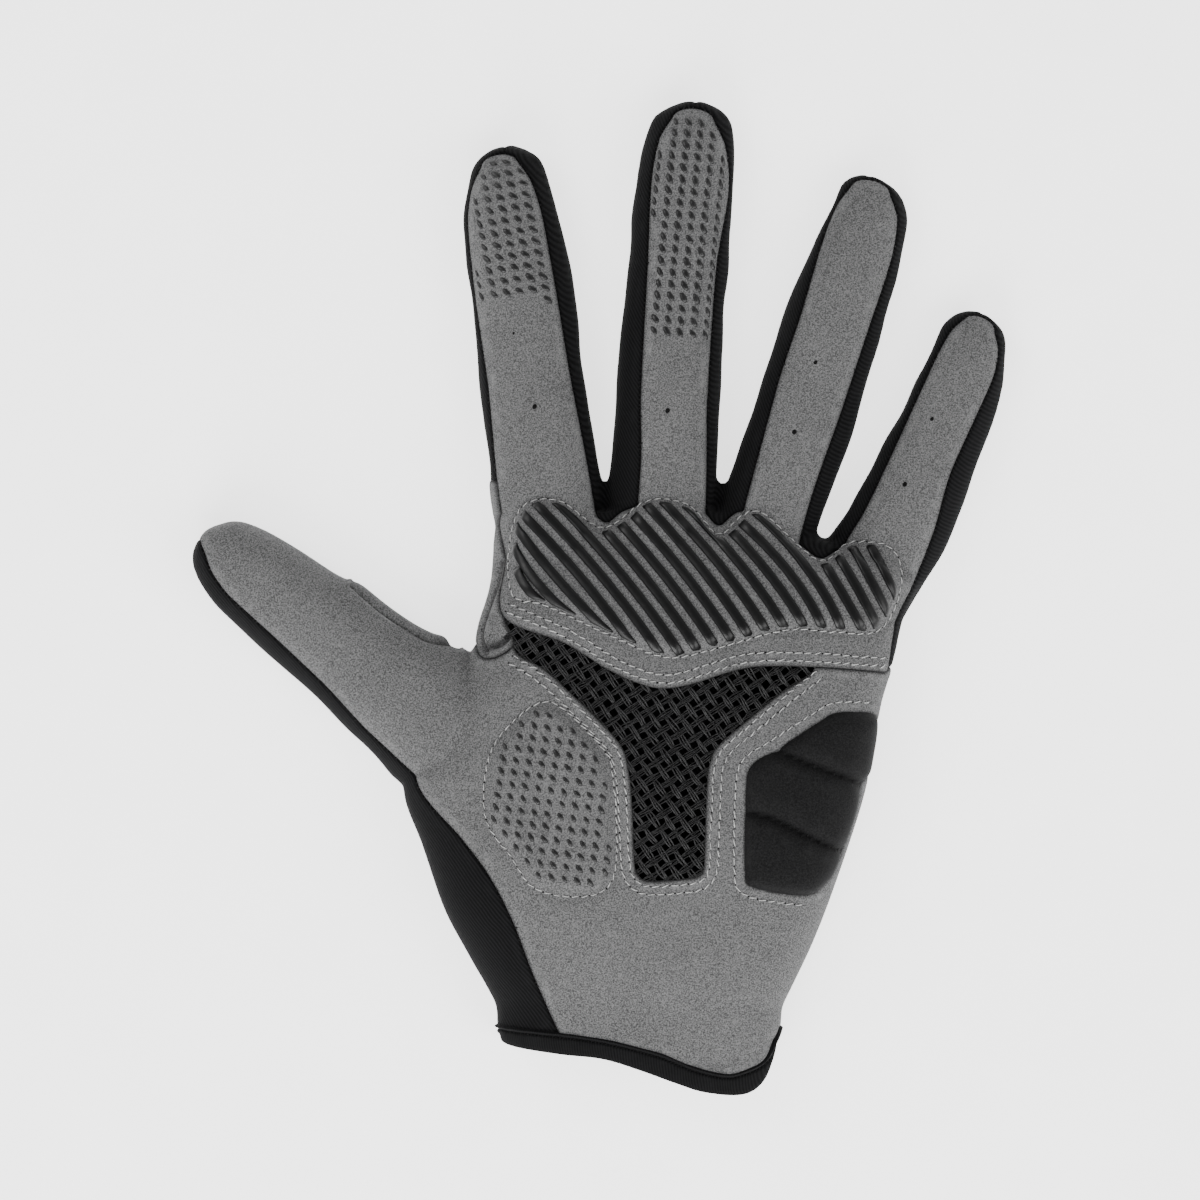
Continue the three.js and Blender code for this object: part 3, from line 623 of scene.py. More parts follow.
def vertex_normals(points: Array, faces: Array) -> Array:
    """Unit normals of a mesh's points, weighted by area.

    Args:
        points: Mesh points.
        faces: Triangles.

    Returns:
        One unit normal a point.
    """
    a, b, c = (points[faces[:, k]] for k in range(3))
    face = np.cross(b - a, c - a)
    total = np.zeros_like(points)
    for k in range(3):
        for axis in range(3):
            total[:, axis] += np.bincount(faces[:, k], face[:, axis], len(points))
    return total / np.maximum(np.linalg.norm(total, axis=1, keepdims=True), 1e-12)


def relax(points: Array, faces: Array, rounds: int) -> Array:
    """Even out small steps without shrinking the form.

    Args:
        points: Mesh points.
        faces: Triangles.
        rounds: How many pairs of passes.

    Returns:
        The moved points.
    """
    edges = np.unique(np.sort(np.concatenate([faces[:, [0, 1]], faces[:, [1, 2]],
                                              faces[:, [2, 0]]]), axis=1), axis=0)
    degree = np.bincount(edges.ravel(), minlength=len(points))[:, None]
    for _ in range(rounds):
        for weight in (0.5, -0.52):
            total = np.zeros_like(points)
            for axis in range(3):
                total[:, axis] = (
                    np.bincount(edges[:, 0], points[edges[:, 1], axis], len(points))
                    + np.bincount(edges[:, 1], points[edges[:, 0], axis], len(points))
                )
            points = points + weight * (total / degree - points)
    return points


@dataclass
class Skin:
    """A stretch of the glove's surface: points, normals, triangles and named fields."""

    points: Array
    normals: Array
    faces: Array
    fields: dict[str, Array] = field(default_factory=dict)

    def split(self, name: str, level: float) -> "Skin":
        """Cut the triangles along a level of a field.

        Args:
            name: The field's name.
            level: Where it is cut.

        Returns:
            The same surface with edges along the level.
        """
        value = self.fields[name] - level
        value = np.where(np.abs(value) < SNAP, 0.0, value)
        sign = np.sign(value).astype(int)
        corner = sign[self.faces]
        crossed = (corner.min(1) < 0) & (corner.max(1) > 0)
        fields = {**self.fields, name: value + level}
        if not crossed.any():
            return Skin(self.points, self.normals, self.faces, fields)
        tri = self.faces[crossed]
        edge = tri[:, [[0, 1], [1, 2], [2, 0]]]
        cut = sign[edge[..., 0]] * sign[edge[..., 1]] < 0
        pairs, back = np.unique(np.sort(edge[cut], axis=1), axis=0, return_inverse=True)
        a, b = pairs[:, 0], pairs[:, 1]
        t = value[a] / (value[a] - value[b])
        middle = np.full(cut.shape, -1)
        middle[cut] = len(self.points) + back.ravel()

        def mixed(data: Array) -> Array:
            """Values at the cuts."""
            share = t if data.ndim == 1 else t[:, None]
            return np.concatenate([data, data[a] + share * (data[b] - data[a])])

        pieces = [self.faces[~crossed]]
        twice = cut.sum(1) == 2
        lone = (np.argmin(cut, axis=1) + 2) % 3
        pieces += self._corner_cut(tri[twice], middle[twice], lone[twice])
        level_corner = (np.argmax(cut, axis=1) + 2) % 3
        pieces += self._side_cut(tri[~twice], middle[~twice], level_corner[~twice])
        normals = mixed(self.normals)
        normals /= np.maximum(np.linalg.norm(normals, axis=1, keepdims=True), 1e-12)
        fields = {key: mixed(data) for key, data in fields.items()}
        fields[name][len(self.points):] = level
        return Skin(mixed(self.points), normals, np.concatenate(pieces), fields)

    @staticmethod
    def _corner_cut(tri: Array, middle: Array, lone: Array) -> list[Array]:
        """Three triangles for each one that loses a corner.

        Args:
            tri: The triangles.
            middle: Index of the cut on each side, or -1.
            lone: Which corner is cut off.

        Returns:
            Triangles, in three arrays.
        """
        row = np.arange(len(tri))
        a, b, c = (tri[row, (lone + k) % 3] for k in range(3))
        ab, ca = middle[row, lone], middle[row, (lone + 2) % 3]
        return [np.stack(t, axis=1) for t in ((a, ab, ca), (ab, b, c), (ab, c, ca))]

    @staticmethod
    def _side_cut(tri: Array, middle: Array, corner: Array) -> list[Array]:
        """Two triangles for each one that is cut from a corner to the far side.

        Args:
            tri: The triangles.
            middle: Index of the cut on each side, or -1.
            corner: Which corner lies on the cut.

        Returns:
            Triangles, in two arrays.
        """
        row = np.arange(len(tri))
        a, b, c = (tri[row, (corner + k) % 3] for k in range(3))
        bc = middle[row, (corner + 1) % 3]
        return [np.stack(t, axis=1) for t in ((a, b, bc), (a, bc, c))]

    def keep(self, name: str, level: float = 0.0) -> "Skin":
        """The stretch where a field is above a level, cut cleanly."""
        skin = self.split(name, level)
        return skin.take(skin.fields[name][skin.faces].max(1) > level)

    def take(self, chosen: Array) -> "Skin":
        """The chosen triangles alone, with their points renumbered.

        Args:
            chosen: True for each triangle that stays.

        Returns:
            The smaller surface.
        """
        faces = self.faces[chosen]
        used, back = np.unique(faces, return_inverse=True)
        fields = {key: data[used] for key, data in self.fields.items()}
        return Skin(self.points[used], self.normals[used], back.reshape(-1, 3), fields)

    def shell(self, outer: Array | float, inner: Array | float) -> "Solid":
        """Close the stretch into cloth with two faces and a rim.

        Args:
            outer: Heights of the upper face over the surface, mm.
            inner: Heights of the lower face, below zero inside the surface, mm.

        Returns:
            The closed solid, with the fields on both faces.
        """
        count = len(self.points)
        high = self.points + self.normals * np.broadcast_to(outer, count)[:, None]
        low = self.points + self.normals * np.broadcast_to(inner, count)[:, None]
        low[:, 2] = np.maximum(low[:, 2], FLOOR_GAP)
        high[:, 2] = np.maximum(high[:, 2], FLOOR_GAP)
        sides = np.concatenate([self.faces[:, [0, 1]], self.faces[:, [1, 2]],
                                self.faces[:, [2, 0]]])
        key = sides[:, 0] * count + sides[:, 1]
        mirrored = sides[:, 1] * count + sides[:, 0]
        a, b = sides[~np.isin(key, mirrored)].T
        rim = [np.stack([b, a, a + count], axis=1), np.stack([b, a + count, b + count], axis=1)]
        faces = np.concatenate([self.faces, self.faces[:, ::-1] + count, *rim])
        fields = {key: np.concatenate([data, data]) for key, data in self.fields.items()}
        return Solid(np.concatenate([high, low]), faces, fields)


@dataclass
class Solid:
    """A closed mesh in millimetres with its point fields."""

    points: Array
    faces: Array
    fields: dict[str, Array] = field(default_factory=dict)

    def build(self, name: str, sharp: float = 48.0, marks: Sequence[str] = ()) -> bpy.types.Object:
        """Make the Blender object in metres.

        Args:
            name: The piece's name.
            sharp: Edges that bend by more than this many degrees stay crisp.
            marks: Fields kept on the mesh for its finish, stored in millimetres.

        Returns:
            The object, linked to the scene.
        """
        mesh = bpy.data.meshes.new(name)
        mesh.from_pydata((self.points * MM).tolist(), [], self.faces.tolist())
        mesh.polygons.foreach_set("use_smooth", np.ones(len(mesh.polygons), bool))
        mesh.set_sharp_from_angle(angle=math.radians(sharp))
        for mark in marks:
            layer = mesh.attributes.new(mark, "FLOAT", "POINT")
            layer.data.foreach_set("value", self.fields[mark].astype(np.float32))
        mesh.update()
        piece = bpy.data.objects.new(name, mesh)
        bpy.context.scene.collection.objects.link(piece)
        return piece


def joined(solids: Sequence[Solid]) -> Solid:
    """Put several solids into one mesh.

    Args:
        solids: The solids.

    Returns:
        All of them in one, without their fields.
    """
    starts = np.cumsum([0] + [len(solid.points) for solid in solids[:-1]])
    return Solid(
        np.concatenate([solid.points for solid in solids]),
        np.concatenate([solid.faces + start for solid, start in zip(solids, starts)]),
    )


class HeightMap:
    """Heights of a surface over the plan, read from above on an even grid."""

    STEP = 0.5

    def __init__(self, solids: Sequence[Solid]) -> None:
        """Probe the solids from above.

        Args:
            solids: What the probes may hit.
        """
        whole = joined(solids)
        tree = BVHTree.FromPolygons(whole.points.tolist(), whole.faces.tolist())
        self.low = whole.points[:, :2].min(0) - 2 * self.STEP
        high = whole.points[:, :2].max(0) + 2 * self.STEP
        self.shape = np.ceil((high - self.low) / self.STEP).astype(int) + 1
        self.grid = np.zeros(self.shape)
        down = Vector((0, 0, -1))
        for i in range(self.shape[0]):
            x = self.low[0] + i * self.STEP
            for j in range(self.shape[1]):
                hit = tree.ray_cast(Vector((x, self.low[1] + j * self.STEP, 60)), down)[0]
                if hit is not None:
                    self.grid[i, j] = hit.z

    def read(self, plan: Array) -> Array:
        """Heights at plan points, mm.

        Args:
            plan: Plan points, mm.

        Returns:
            One height a point.
        """
        spot = (plan - self.low) / self.STEP
        spot = np.clip(spot, 0, self.shape - 1.001)
        i, j = spot.astype(int).T
        u, v = (spot - np.floor(spot)).T
        grid = self.grid
        return (
            grid[i, j] * (1 - u) * (1 - v) + grid[i + 1, j] * u * (1 - v)
            + grid[i, j + 1] * (1 - u) * v + grid[i + 1, j + 1] * u * v
        )

    def normal(self, plan: Array, reach: float = 0.9) -> Array:
        """Unit normals at plan points, from heights a short reach away.

        Args:
            plan: Plan points, mm.
            reach: How far aside it looks, mm.

        Returns:
            One unit normal a point.
        """
        east = self.read(plan + [reach, 0]) - self.read(plan - [reach, 0])
        north = self.read(plan + [0, reach]) - self.read(plan - [0, reach])
        normal = np.stack([-east, -north, np.full(len(plan), 2 * reach)], axis=1)
        return normal / np.linalg.norm(normal, axis=1, keepdims=True)


class GloveForm:
    """The whole glove's smooth outer surface and the fields that its seams follow."""

    def __init__(self) -> None:
        """Loft, fuse and relax the form, then measure its seam fields."""
        self.skin = self._fused()
        self._measure()

    def _fused(self) -> Skin:
        """One even surface over the palm and the five fingers.

        Returns:
            The surface, with its normals.
        """
        points, faces, offset = [], [], 0
        for rings in [palm_rings(), *(finger_rings(finger) for finger in FINGERS.values())]:
            part_points, part_faces = loft(rings, offset)
            points.append(part_points)
            faces += part_faces
            offset += len(part_points)
        mesh = bpy.data.meshes.new("form")
        mesh.from_pydata(np.concatenate(points).tolist(), [], faces)
        form = bpy.data.objects.new("form", mesh)
        bpy.context.scene.collection.objects.link(form)
        fuse = form.modifiers.new("fuse", "REMESH")
        fuse.mode = "VOXEL"
        fuse.voxel_size = VOXEL
        graph = bpy.context.evaluated_depsgraph_get()
        fused = bpy.data.meshes.new_from_object(form.evaluated_get(graph))
        spots = np.empty(len(fused.vertices) * 3)
        fused.vertices.foreach_get("co", spots)
        fused.calc_loop_triangles()
        tri = np.empty(len(fused.loop_triangles) * 3, int)
        fused.loop_triangles.foreach_get("vertices", tri)
        bpy.data.objects.remove(form)
        bpy.data.meshes.remove(mesh)
        bpy.data.meshes.remove(fused)
        spots, tri = spots.reshape(-1, 3), tri.reshape(-1, 3)
        spots = relax(spots, tri, 6)
        spots = self._worn(spots, vertex_normals(spots, tri))
        return Skin(spots, vertex_normals(spots, tri), tri)

    @staticmethod
    def _worn(points: Array, normals: Array) -> Array:
        """Give the form the slight waves and lumps of a real glove.

        Args:
            points: The form's points, mm.
            normals: Their unit normals.

        Returns:
            The moved points.
        """
        low = 1 - soft_step(points[:, 2], 5.0, 9.0)
        beyond_palm = soft_step(points[:, 1], 45.0, 62.0) + soft_step(-points[:, 0], 55.0, 70.0)
        lumps = Ripple(wavelength=13.0, amplitude=0.22, seed=11).at(points)
        lumps *= low * np.clip(beyond_palm, 0, 1)
        waves = Ripple(wavelength=30.0, amplitude=0.3, seed=5).at(points)
        waves *= soft_step(points[:, 2], 1.0, 6.0)
        moved = points + normals * (lumps + waves)[:, None]
        moved[:, 2] = np.maximum(moved[:, 2], FLOOR_GAP)
        return moved

    def _measure(self) -> None:
        """Work out how deep each point lies inside each cloth piece."""
        skin = self.skin
        plan, height = skin.points[:, :2], skin.points[:, 2] - SPLIT_HEIGHT
        band = curve(place(KNUCKLE_BAND), 1.2, True)
        shapes = {
            "upper": [band, *(FINGERS[n].panel() for n in ("index", "middle", "ring", "little"))],
            "gusset": [curve(place(GUSSET_FIELD), 1.2, True)],
            "net": [curve(place(NET_FIELD), 1.0, True)],
            "lower": [curve(place(HEEL_FIELD), 1.2, True), FINGERS["thumb"].panel()],
            "index_middle": [finger_gap("index", "middle")],
            "middle_ring": [finger_gap("middle", "ring")],
            "ring_little": [finger_gap("ring", "little")],
        }
        wrist_top, wrist_low = (above_line(place(rows), plan) for rows in (CUFF_TOP, CUFF_LOW))
        cloth = wrist_top + 1.0
        over = np.full(len(plan), -FAR)
        for name, outlines in shapes.items():
            depth = np.max([depth_inside(outline, plan) for outline in outlines], axis=0)
            depth = np.minimum(depth, height)
            skin.fields[name] = np.minimum(np.minimum(depth, -over), cloth)
            over = np.maximum(over, depth)
        skin.fields["back"] = np.minimum(-over, cloth)
        skin.fields["binding"] = np.minimum(wrist_low, -wrist_top)
        skin.fields["wrist"] = wrist_top
        skin.fields["seam"] = np.zeros(len(plan))
        pads = {"knuckle": KNUCKLE_PAD, "thenar": THENAR_PAD, "heel": HEEL_PAD}
        for name, rows in pads.items():
            skin.fields[name] = depth_inside(curve(place(rows), 1.0, True), plan)
            skin.fields[name] = np.where(height > 0, skin.fields[name], -FAR)

    def cut(self, name: str, loops: Sequence[float]) -> Skin:
        """Take one piece out of the form with edge loops beside its seams.

        Args:
            name: The piece's field.
            loops: Distances of the loops from the seam, mm.

        Returns:
            The piece's surface, its seam distance kept as the field seam.
        """
        skin = self.skin.keep(name)
        for loop in loops:
            skin = skin.split(name, loop)
        skin.fields["seam"] = skin.fields[name].copy()
        return skin


def finger_gap(first: str, second: str) -> Array:
    """Plan outline of the strip between two fingers' axes.

    Args:
        first: The finger on the left.
        second: The one on the right.

    Returns:
        The outline's points.
    """
    a, b = FINGERS[first], FINGERS[second]
    corners = [a.point(-0.12, 0), a.point(1.1, 0), b.point(1.1, 0), b.point(-0.12, 0)]
    return resample(np.array([*corners, corners[0]]), 3.0)[:-1]


class Shade(Enum):
    """Linear base colours of the glove's materials, darker and lighter tone of each."""

    SUEDE = ((0.045, 0.045, 0.0455), (0.175, 0.175, 0.1755))
    KNIT = ((0.0018, 0.0018, 0.002), (0.0085, 0.0085, 0.009))
    NET = ((0.001, 0.001, 0.0011), (0.044, 0.044, 0.0445))
    PAD = ((0.0025, 0.0025, 0.0027), (0.0125, 0.0125, 0.0128))
    SILICONE = ((0.0015, 0.0015, 0.0016), (0.004, 0.004, 0.0042))
    DOTS = ((0.002, 0.002, 0.0021), (0.0155, 0.0155, 0.0157))
    ELASTIC = ((0.003, 0.003, 0.0032), (0.0085, 0.0085, 0.009))
    DARK_THREAD = ((0.001, 0.001, 0.001), (0.008, 0.008, 0.008))
    THREAD = ((0.2, 0.2, 0.2), (0.68, 0.68, 0.67))
    # Painted shadow of the needle holes; the tack dots use it too
    HOLE = ((0.003, 0.003, 0.003), (0.01, 0.01, 0.01))
    TABLE = ((0.9, 0.9, 0.9), (0.94, 0.94, 0.94))


class Wiring:
    """Short-hand for adding and joining nodes in one tree."""

    def __init__(self, tree: bpy.types.NodeTree) -> None:
        """Work on a node tree."""
        self.tree = tree

    def node(self, kind: str, **settings: object) -> bpy.types.Node:
        """Add a node.

        Args:
            kind: The node's type name.
            **settings: Its properties.

        Returns:
            The node.
        """
        node = self.tree.nodes.new(kind)
        for key, value in settings.items():
            setattr(node, key, value)
        return node

    def link(self, source: bpy.types.NodeSocket, target: bpy.types.NodeSocket) -> None:
        """Join two sockets."""
        self.tree.links.new(source, target)

    def feed(self, value: object, target: bpy.types.NodeSocket) -> None:
        """Give a socket its value: another socket or a number.

        Args:
            value: The socket or number.
            target: The socket that takes it.
        """
        if isinstance(value, bpy.types.NodeSocket):
            self.link(value, target)
        else:
            target.default_value = value

    def math(self, operation: str, *values: object) -> bpy.types.NodeSocket:
        """Add a sum.

        Args:
            operation: The Math node's operation.
            *values: Its inputs, each a socket or a number.

        Returns:
            The result's socket.
        """
        node = self.node("ShaderNodeMath", operation=operation)
        for socket, value in zip(node.inputs, values):
            self.feed(value, socket)
        return node.outputs[0]

    def clamp(self, value: bpy.types.NodeSocket) -> bpy.types.NodeSocket:
        """Keep a value between 0 and 1.

        Args:
            value: The value's socket.

        Returns:
            The result's socket.
        """
        node = self.node("ShaderNodeClamp")
        self.link(value, node.inputs[0])
        return node.outputs[0]

    def noise(self, vector: bpy.types.NodeSocket, scale: object, detail: float,
              roughness: float = 0.5) -> bpy.types.NodeSocket:
        """Add a noise field.

        Args:
            vector: Coordinates.
            scale: Cells per metre, a socket or a number.
            detail: Octaves.
            roughness: Weight of the finer octaves.

        Returns:
            The noise value's socket.
        """
        node = self.node("ShaderNodeTexNoise")
        node.inputs["Detail"].default_value = detail
        node.inputs["Roughness"].default_value = roughness
        self.link(vector, node.inputs["Vector"])
        self.feed(scale, node.inputs["Scale"])
        return node.outputs[0]


def new_group(name: str, inputs: dict[str, float], outputs: Sequence[str]) -> Wiring:
    """Start a shader node group with named float sockets.

    Args:
        name: The group's name.
        inputs: Input names and their usual values.
        outputs: Output names.

    Returns:
        Wiring on the group's tree.
    """
    tree = bpy.data.node_groups.new(name, "ShaderNodeTree")
    for key, value in inputs.items():
        socket = tree.interface.new_socket(key, in_out="INPUT", socket_type="NodeSocketFloat")
        socket.default_value = value
    for key in outputs:
        tree.interface.new_socket(key, in_out="OUTPUT", socket_type="NodeSocketFloat")
    return Wiring(tree)


class SharedEffects:
    """Node groups that several finishes use."""

    def __init__(self) -> None:
        """Build each group once."""
        self.grain = self._grain()
        self.rib = self._rib()
        self.crease = self._crease()

    @staticmethod
    def _grain() -> bpy.types.NodeTree:
        """Fine speckle with slow mottling: outputs Tone and Height.

        Returns:
            The node group.
        """
        w = new_group("cloth_grain", {"Cells": 2600.0, "Blotches": 90.0, "Blotch Share": 0.3},
                      ("Tone", "Height"))
        start, end = w.node("NodeGroupInput"), w.node("NodeGroupOutput")
        where = w.node("ShaderNodeTexCoord").outputs["Object"]
        fine = w.noise(where, start.outputs["Cells"], 2.5, 0.65)
        slow = w.noise(where, start.outputs["Blotches"], 2.0)
        # Noise stays near its middle, so its tones are spread over the whole range
        fine_tone = w.math("MULTIPLY_ADD", fine, 3.7, -1.37)
        share = start.outputs["Blotch Share"]
        mixed = w.math("ADD", fine_tone, w.math("MULTIPLY", w.math("SUBTRACT", slow, 0.5), share))
        w.link(w.clamp(mixed), end.inputs["Tone"])
        w.link(fine, end.inputs["Height"])
        return w.tree

    @staticmethod
    def _rib() -> bpy.types.NodeTree:
        """Diagonal ribs of a knit, slightly uneven: outputs Tone and Height.

        Returns:
            The node group.
        """
        w = new_group("knit_rib", {"Ribs": 900.0, "Lean": 0.8, "Yarns": 1700.0},
                      ("Tone", "Height"))
        start, end = w.node("NodeGroupInput"), w.node("NodeGroupOutput")
        where = w.node("ShaderNodeTexCoord").outputs["Object"]
        parts = w.node("ShaderNodeSeparateXYZ")
        w.link(where, parts.inputs[0])
        x, y, z = parts.outputs
        sway = w.math("MULTIPLY", w.noise(where, 160.0, 1.0), 0.0011)
        across = w.math("ADD", w.math("ADD", x, w.math("MULTIPLY", y, start.outputs["Lean"])),
                        w.math("ADD", w.math("MULTIPLY", z, 0.6), sway))
        turns = w.math("MULTIPLY", w.math("MULTIPLY", across, start.outputs["Ribs"]), 2 * math.pi)
        rib = w.math("MULTIPLY_ADD", w.math("SINE", turns), 0.5, 0.5)
        yarn = w.noise(where, start.outputs["Yarns"], 2.0, 0.6)
        height = w.math("MULTIPLY", rib, w.math("ADD", yarn, 0.35))
        w.link(height, end.inputs["Height"])
        w.link(w.clamp(w.math("MULTIPLY", height, 1.25)), end.inputs["Tone"])
        return w.tree

    @staticmethod
    def _crease() -> bpy.types.NodeTree:
        """Outputs painted shade in a seam's crease, and wear with a painted highlight on its roll.

        Returns:
            The node group.
        """
        w = new_group("seam_crease_shade", {"Reach": 0.7, "Depth": 0.6, "Roll": 1.6},
                      ("Shade", "Wear And Highlight"))
        start, end = w.node("NodeGroupInput"), w.node("NodeGroupOutput")
        seam = w.node("ShaderNodeAttribute", attribute_name="seam").outputs["Fac"]
        # Painted shade: the colour darkens as the seam field nears zero
        share = w.clamp(w.math("DIVIDE", seam, start.outputs["Reach"]))
        fall = w.math("SUBTRACT", 1.0, share)
        shade = w.math("SUBTRACT", 1.0, w.math("MULTIPLY", fall, start.outputs["Depth"]))
        w.link(shade, end.inputs["Shade"])
        # Wear with a painted highlight: lighter patches on the edge's roll, at the Roll distance
        gap = w.math("ABSOLUTE", w.math("SUBTRACT", seam, start.outputs["Roll"]))
        peak = w.clamp(w.math("SUBTRACT", 1.0, gap))
        where = w.node("ShaderNodeTexCoord").outputs["Object"]
        patch = w.math("SUBTRACT", w.noise(where, 300.0, 2.0), 0.42)
        w.link(w.math("MULTIPLY", peak, patch), end.inputs["Wear And Highlight"])
        return w.tree


class Texture(Enum):
    """The shared effect that gives a finish its tones and bumps."""

    GRAIN = "grain"
    RIB = "rib"


@dataclass(frozen=True)
class Finish:
    """A cloth-like material: two tones mixed by a shared texture, bumped by it.

    The settings go to the texture's sockets. A crease-shaded finish gets painted shade in the
    mesh's seams, and wear with a painted highlight on the roll beside them. The gloss spread
    is how much smoother the lighter tone is.
    """

    name: str
    shade: Shade
    texture: Texture
    settings: tuple[tuple[str, float], ...] = ()
    roughness: float = 0.9
    sheen: float = 0.0
    bump: float = 0.4
    bump_height: float = 0.0002
    crease_shaded: bool = False
    crease_depth: float = 0.6
    specular: float = 0.5
    gloss_spread: float = 0.0

    def make(self, effects: SharedEffects) -> bpy.types.Material:
        """Build the material.

        Args:
            effects: The shared node groups.

        Returns:
            The material.
        """
        material = bpy.data.materials.new(self.name)
        material.use_nodes = True
        w = Wiring(material.node_tree)
        shader = material.node_tree.nodes["Principled BSDF"]
        shader.inputs["Roughness"].default_value = self.roughness
        shader.inputs["Sheen Weight"].default_value = self.sheen
        shader.inputs["Sheen Roughness"].default_value = 0.5
        shader.inputs["Specular IOR Level"].default_value = self.specular
        texture = w.node("ShaderNodeGroup")
        texture.node_tree = getattr(effects, self.texture.value)
        for key, value in self.settings:
            texture.inputs[key].default_value = value
        tint = w.node("ShaderNodeMix", data_type="RGBA")
        tint.inputs["A"].default_value = (*self.shade.value[0], 1)
        tint.inputs["B"].default_value = (*self.shade.value[1], 1)
        w.link(texture.outputs["Tone"], tint.inputs["Factor"])
        colour = tint.outputs["Result"]
        if self.gloss_spread:
            gloss = w.math("MULTIPLY_ADD", texture.outputs["Tone"], -self.gloss_spread,
                           self.roughness)
            w.link(gloss, shader.inputs["Roughness"])
        # Painted shade in the seams, and wear with a painted highlight on their roll
        if self.crease_shaded:
            colour = self._paint_crease_shade(w, colour, effects.crease)
        w.link(colour, shader.inputs["Base Color"])
        bump = w.node("ShaderNodeBump")
        bump.inputs["Strength"].default_value = self.bump
        bump.inputs["Distance"].default_value = self.bump_height
        w.link(texture.outputs["Height"], bump.inputs["Height"])
        w.link(bump.outputs[0], shader.inputs["Normal"])
        return material

    def _paint_crease_shade(self, w: Wiring, colour: bpy.types.NodeSocket,
                 effect: bpy.types.NodeTree) -> bpy.types.NodeSocket:
        """Lighten a colour by wear and painted highlight on the roll; paint shade in the seams.

        Args:
            w: Wiring of the material.
            colour: The cloth's colour.
            effect: The crease's node group.

        Returns:
            The changed colour.
        """
        crease = w.node("ShaderNodeGroup")
        crease.node_tree = effect
        crease.inputs["Depth"].default_value = self.crease_depth
        wear_and_highlight = w.node("ShaderNodeMix", data_type="RGBA", blend_type="MIX")
        wear_and_highlight.inputs["B"].default_value = (*(1.5 * c for c in self.shade.value[1]), 1)
        w.link(crease.outputs["Wear And Highlight"], wear_and_highlight.inputs["Factor"])
        w.link(colour, wear_and_highlight.inputs["A"])
        # Painted shade: the colour is multiplied by the crease group's shade
        dark = w.node("ShaderNodeMix", data_type="RGBA", blend_type="MULTIPLY")
        dark.inputs["Factor"].default_value = 1.0
        grey = w.node("ShaderNodeCombineColor")
        for socket in grey.inputs:
            w.link(crease.outputs["Shade"], socket)
        w.link(wear_and_highlight.outputs["Result"], dark.inputs["A"])
        w.link(grey.outputs[0], dark.inputs["B"])
        return dark.outputs["Result"]


FINISHES: dict[str, Finish] = {
    "suede": Finish("suede", Shade.SUEDE, Texture.GRAIN,
                    (("Cells", 3200.0), ("Blotch Share", 0.22)), roughness=0.95, sheen=0.03,
                    bump=0.5, crease_shaded=True, crease_depth=0.72, specular=0.1),
    "knit": Finish("knit", Shade.KNIT, Texture.RIB, (("Ribs", 1000.0),), roughness=0.95,
                   sheen=0.01, bump=0.3, crease_shaded=True, specular=0.1),
    "net": Finish("net_yarn", Shade.NET, Texture.GRAIN, (("Cells", 3000.0),), roughness=0.5,
                  bump=0.8, specular=0.3),
    "pad": Finish("pad_leather", Shade.PAD, Texture.GRAIN, (("Cells", 3000.0),), roughness=0.85,
                  sheen=0.02, bump=0.3, crease_shaded=True, specular=0.12),
    "silicone": Finish("silicone", Shade.SILICONE, Texture.GRAIN,
                       (("Cells", 700.0), ("Blotches", 90.0), ("Blotch Share", 1.2)),
                       roughness=0.42, bump=0.12, specular=0.3, gloss_spread=0.14),
    "dots": Finish("silicone_dots", Shade.DOTS, Texture.GRAIN,
                   (("Cells", 1500.0), ("Blotches", 300.0), ("Blotch Share", 1.0)),
                   roughness=0.4, bump=0.3, specular=0.4, gloss_spread=0.15),
    "elastic": Finish("elastic", Shade.ELASTIC, Texture.RIB, (("Ribs", 1700.0), ("Lean", 0.12)),
                      sheen=0.01, bump=0.15, crease_shaded=True, specular=0.1),
    "dark_thread": Finish("dark_thread", Shade.DARK_THREAD, Texture.GRAIN, (("Cells", 3000.0),),
                          roughness=0.8, bump_height=0.0001, specular=0.15),
    "thread": Finish("thread", Shade.THREAD, Texture.GRAIN, (("Cells", 6000.0),), roughness=0.7,
                     bump=0.5, bump_height=0.0001),
    # Dark domes that paint the needle holes' shadow; the tack dots use it too
    "hole": Finish("needle_hole", Shade.HOLE, Texture.GRAIN, (("Cells", 3000.0),), roughness=1.0,
                   specular=0.05),
    "table": Finish("table", Shade.TABLE, Texture.GRAIN, (("Cells", 40.0), ("Blotches", 3.0)),
                    bump=0.05),
}


@dataclass
class Workshop:
    """What every sub-assembly needs: the glove form, the finishes and the placing calls."""

    form: GloveForm
    materials: dict[str, bpy.types.Material]

    def publish(self, piece: bpy.types.Object, finish: str, slot: str,
                nodes: Sequence[str] = ()) -> None:
        """Dress a piece, let it ride on the glove and hide the CAD nodes that it replaces.

        Args:
            piece: The object.
            finish: Its finish's key.
            slot: Not used.
            nodes: CAD nodes that it replaces.
        """
        piece.data.materials.append(self.materials[finish])
        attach(piece, "root")
        if nodes:
            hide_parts(*nodes)
        log.info("%s: %d faces", piece.name, len(piece.data.polygons))

    def cloth(self, name: str, skin: Skin, faces: tuple[Array | float, Array | float],
              finish: str, slot: str, nodes: Sequence[str],
              fill: Optional[float] = None) -> Solid:
        """Make a cloth piece from a stretch of the form and publish it.

        Args:
            name: The piece's name.
            skin: Its stretch of the form, with the field seam.
            faces: Heights of its outer and inner face over the form, mm.
            finish: Its finish's key.
            slot: Handed on to publish.
            nodes: CAD nodes that it replaces.
            fill: Not used.

        Returns:
            The piece's solid.
        """
        solid = skin.shell(*faces)
        piece = solid.build(name, marks=("seam",))
        self.publish(piece, finish, slot, nodes)
        return solid


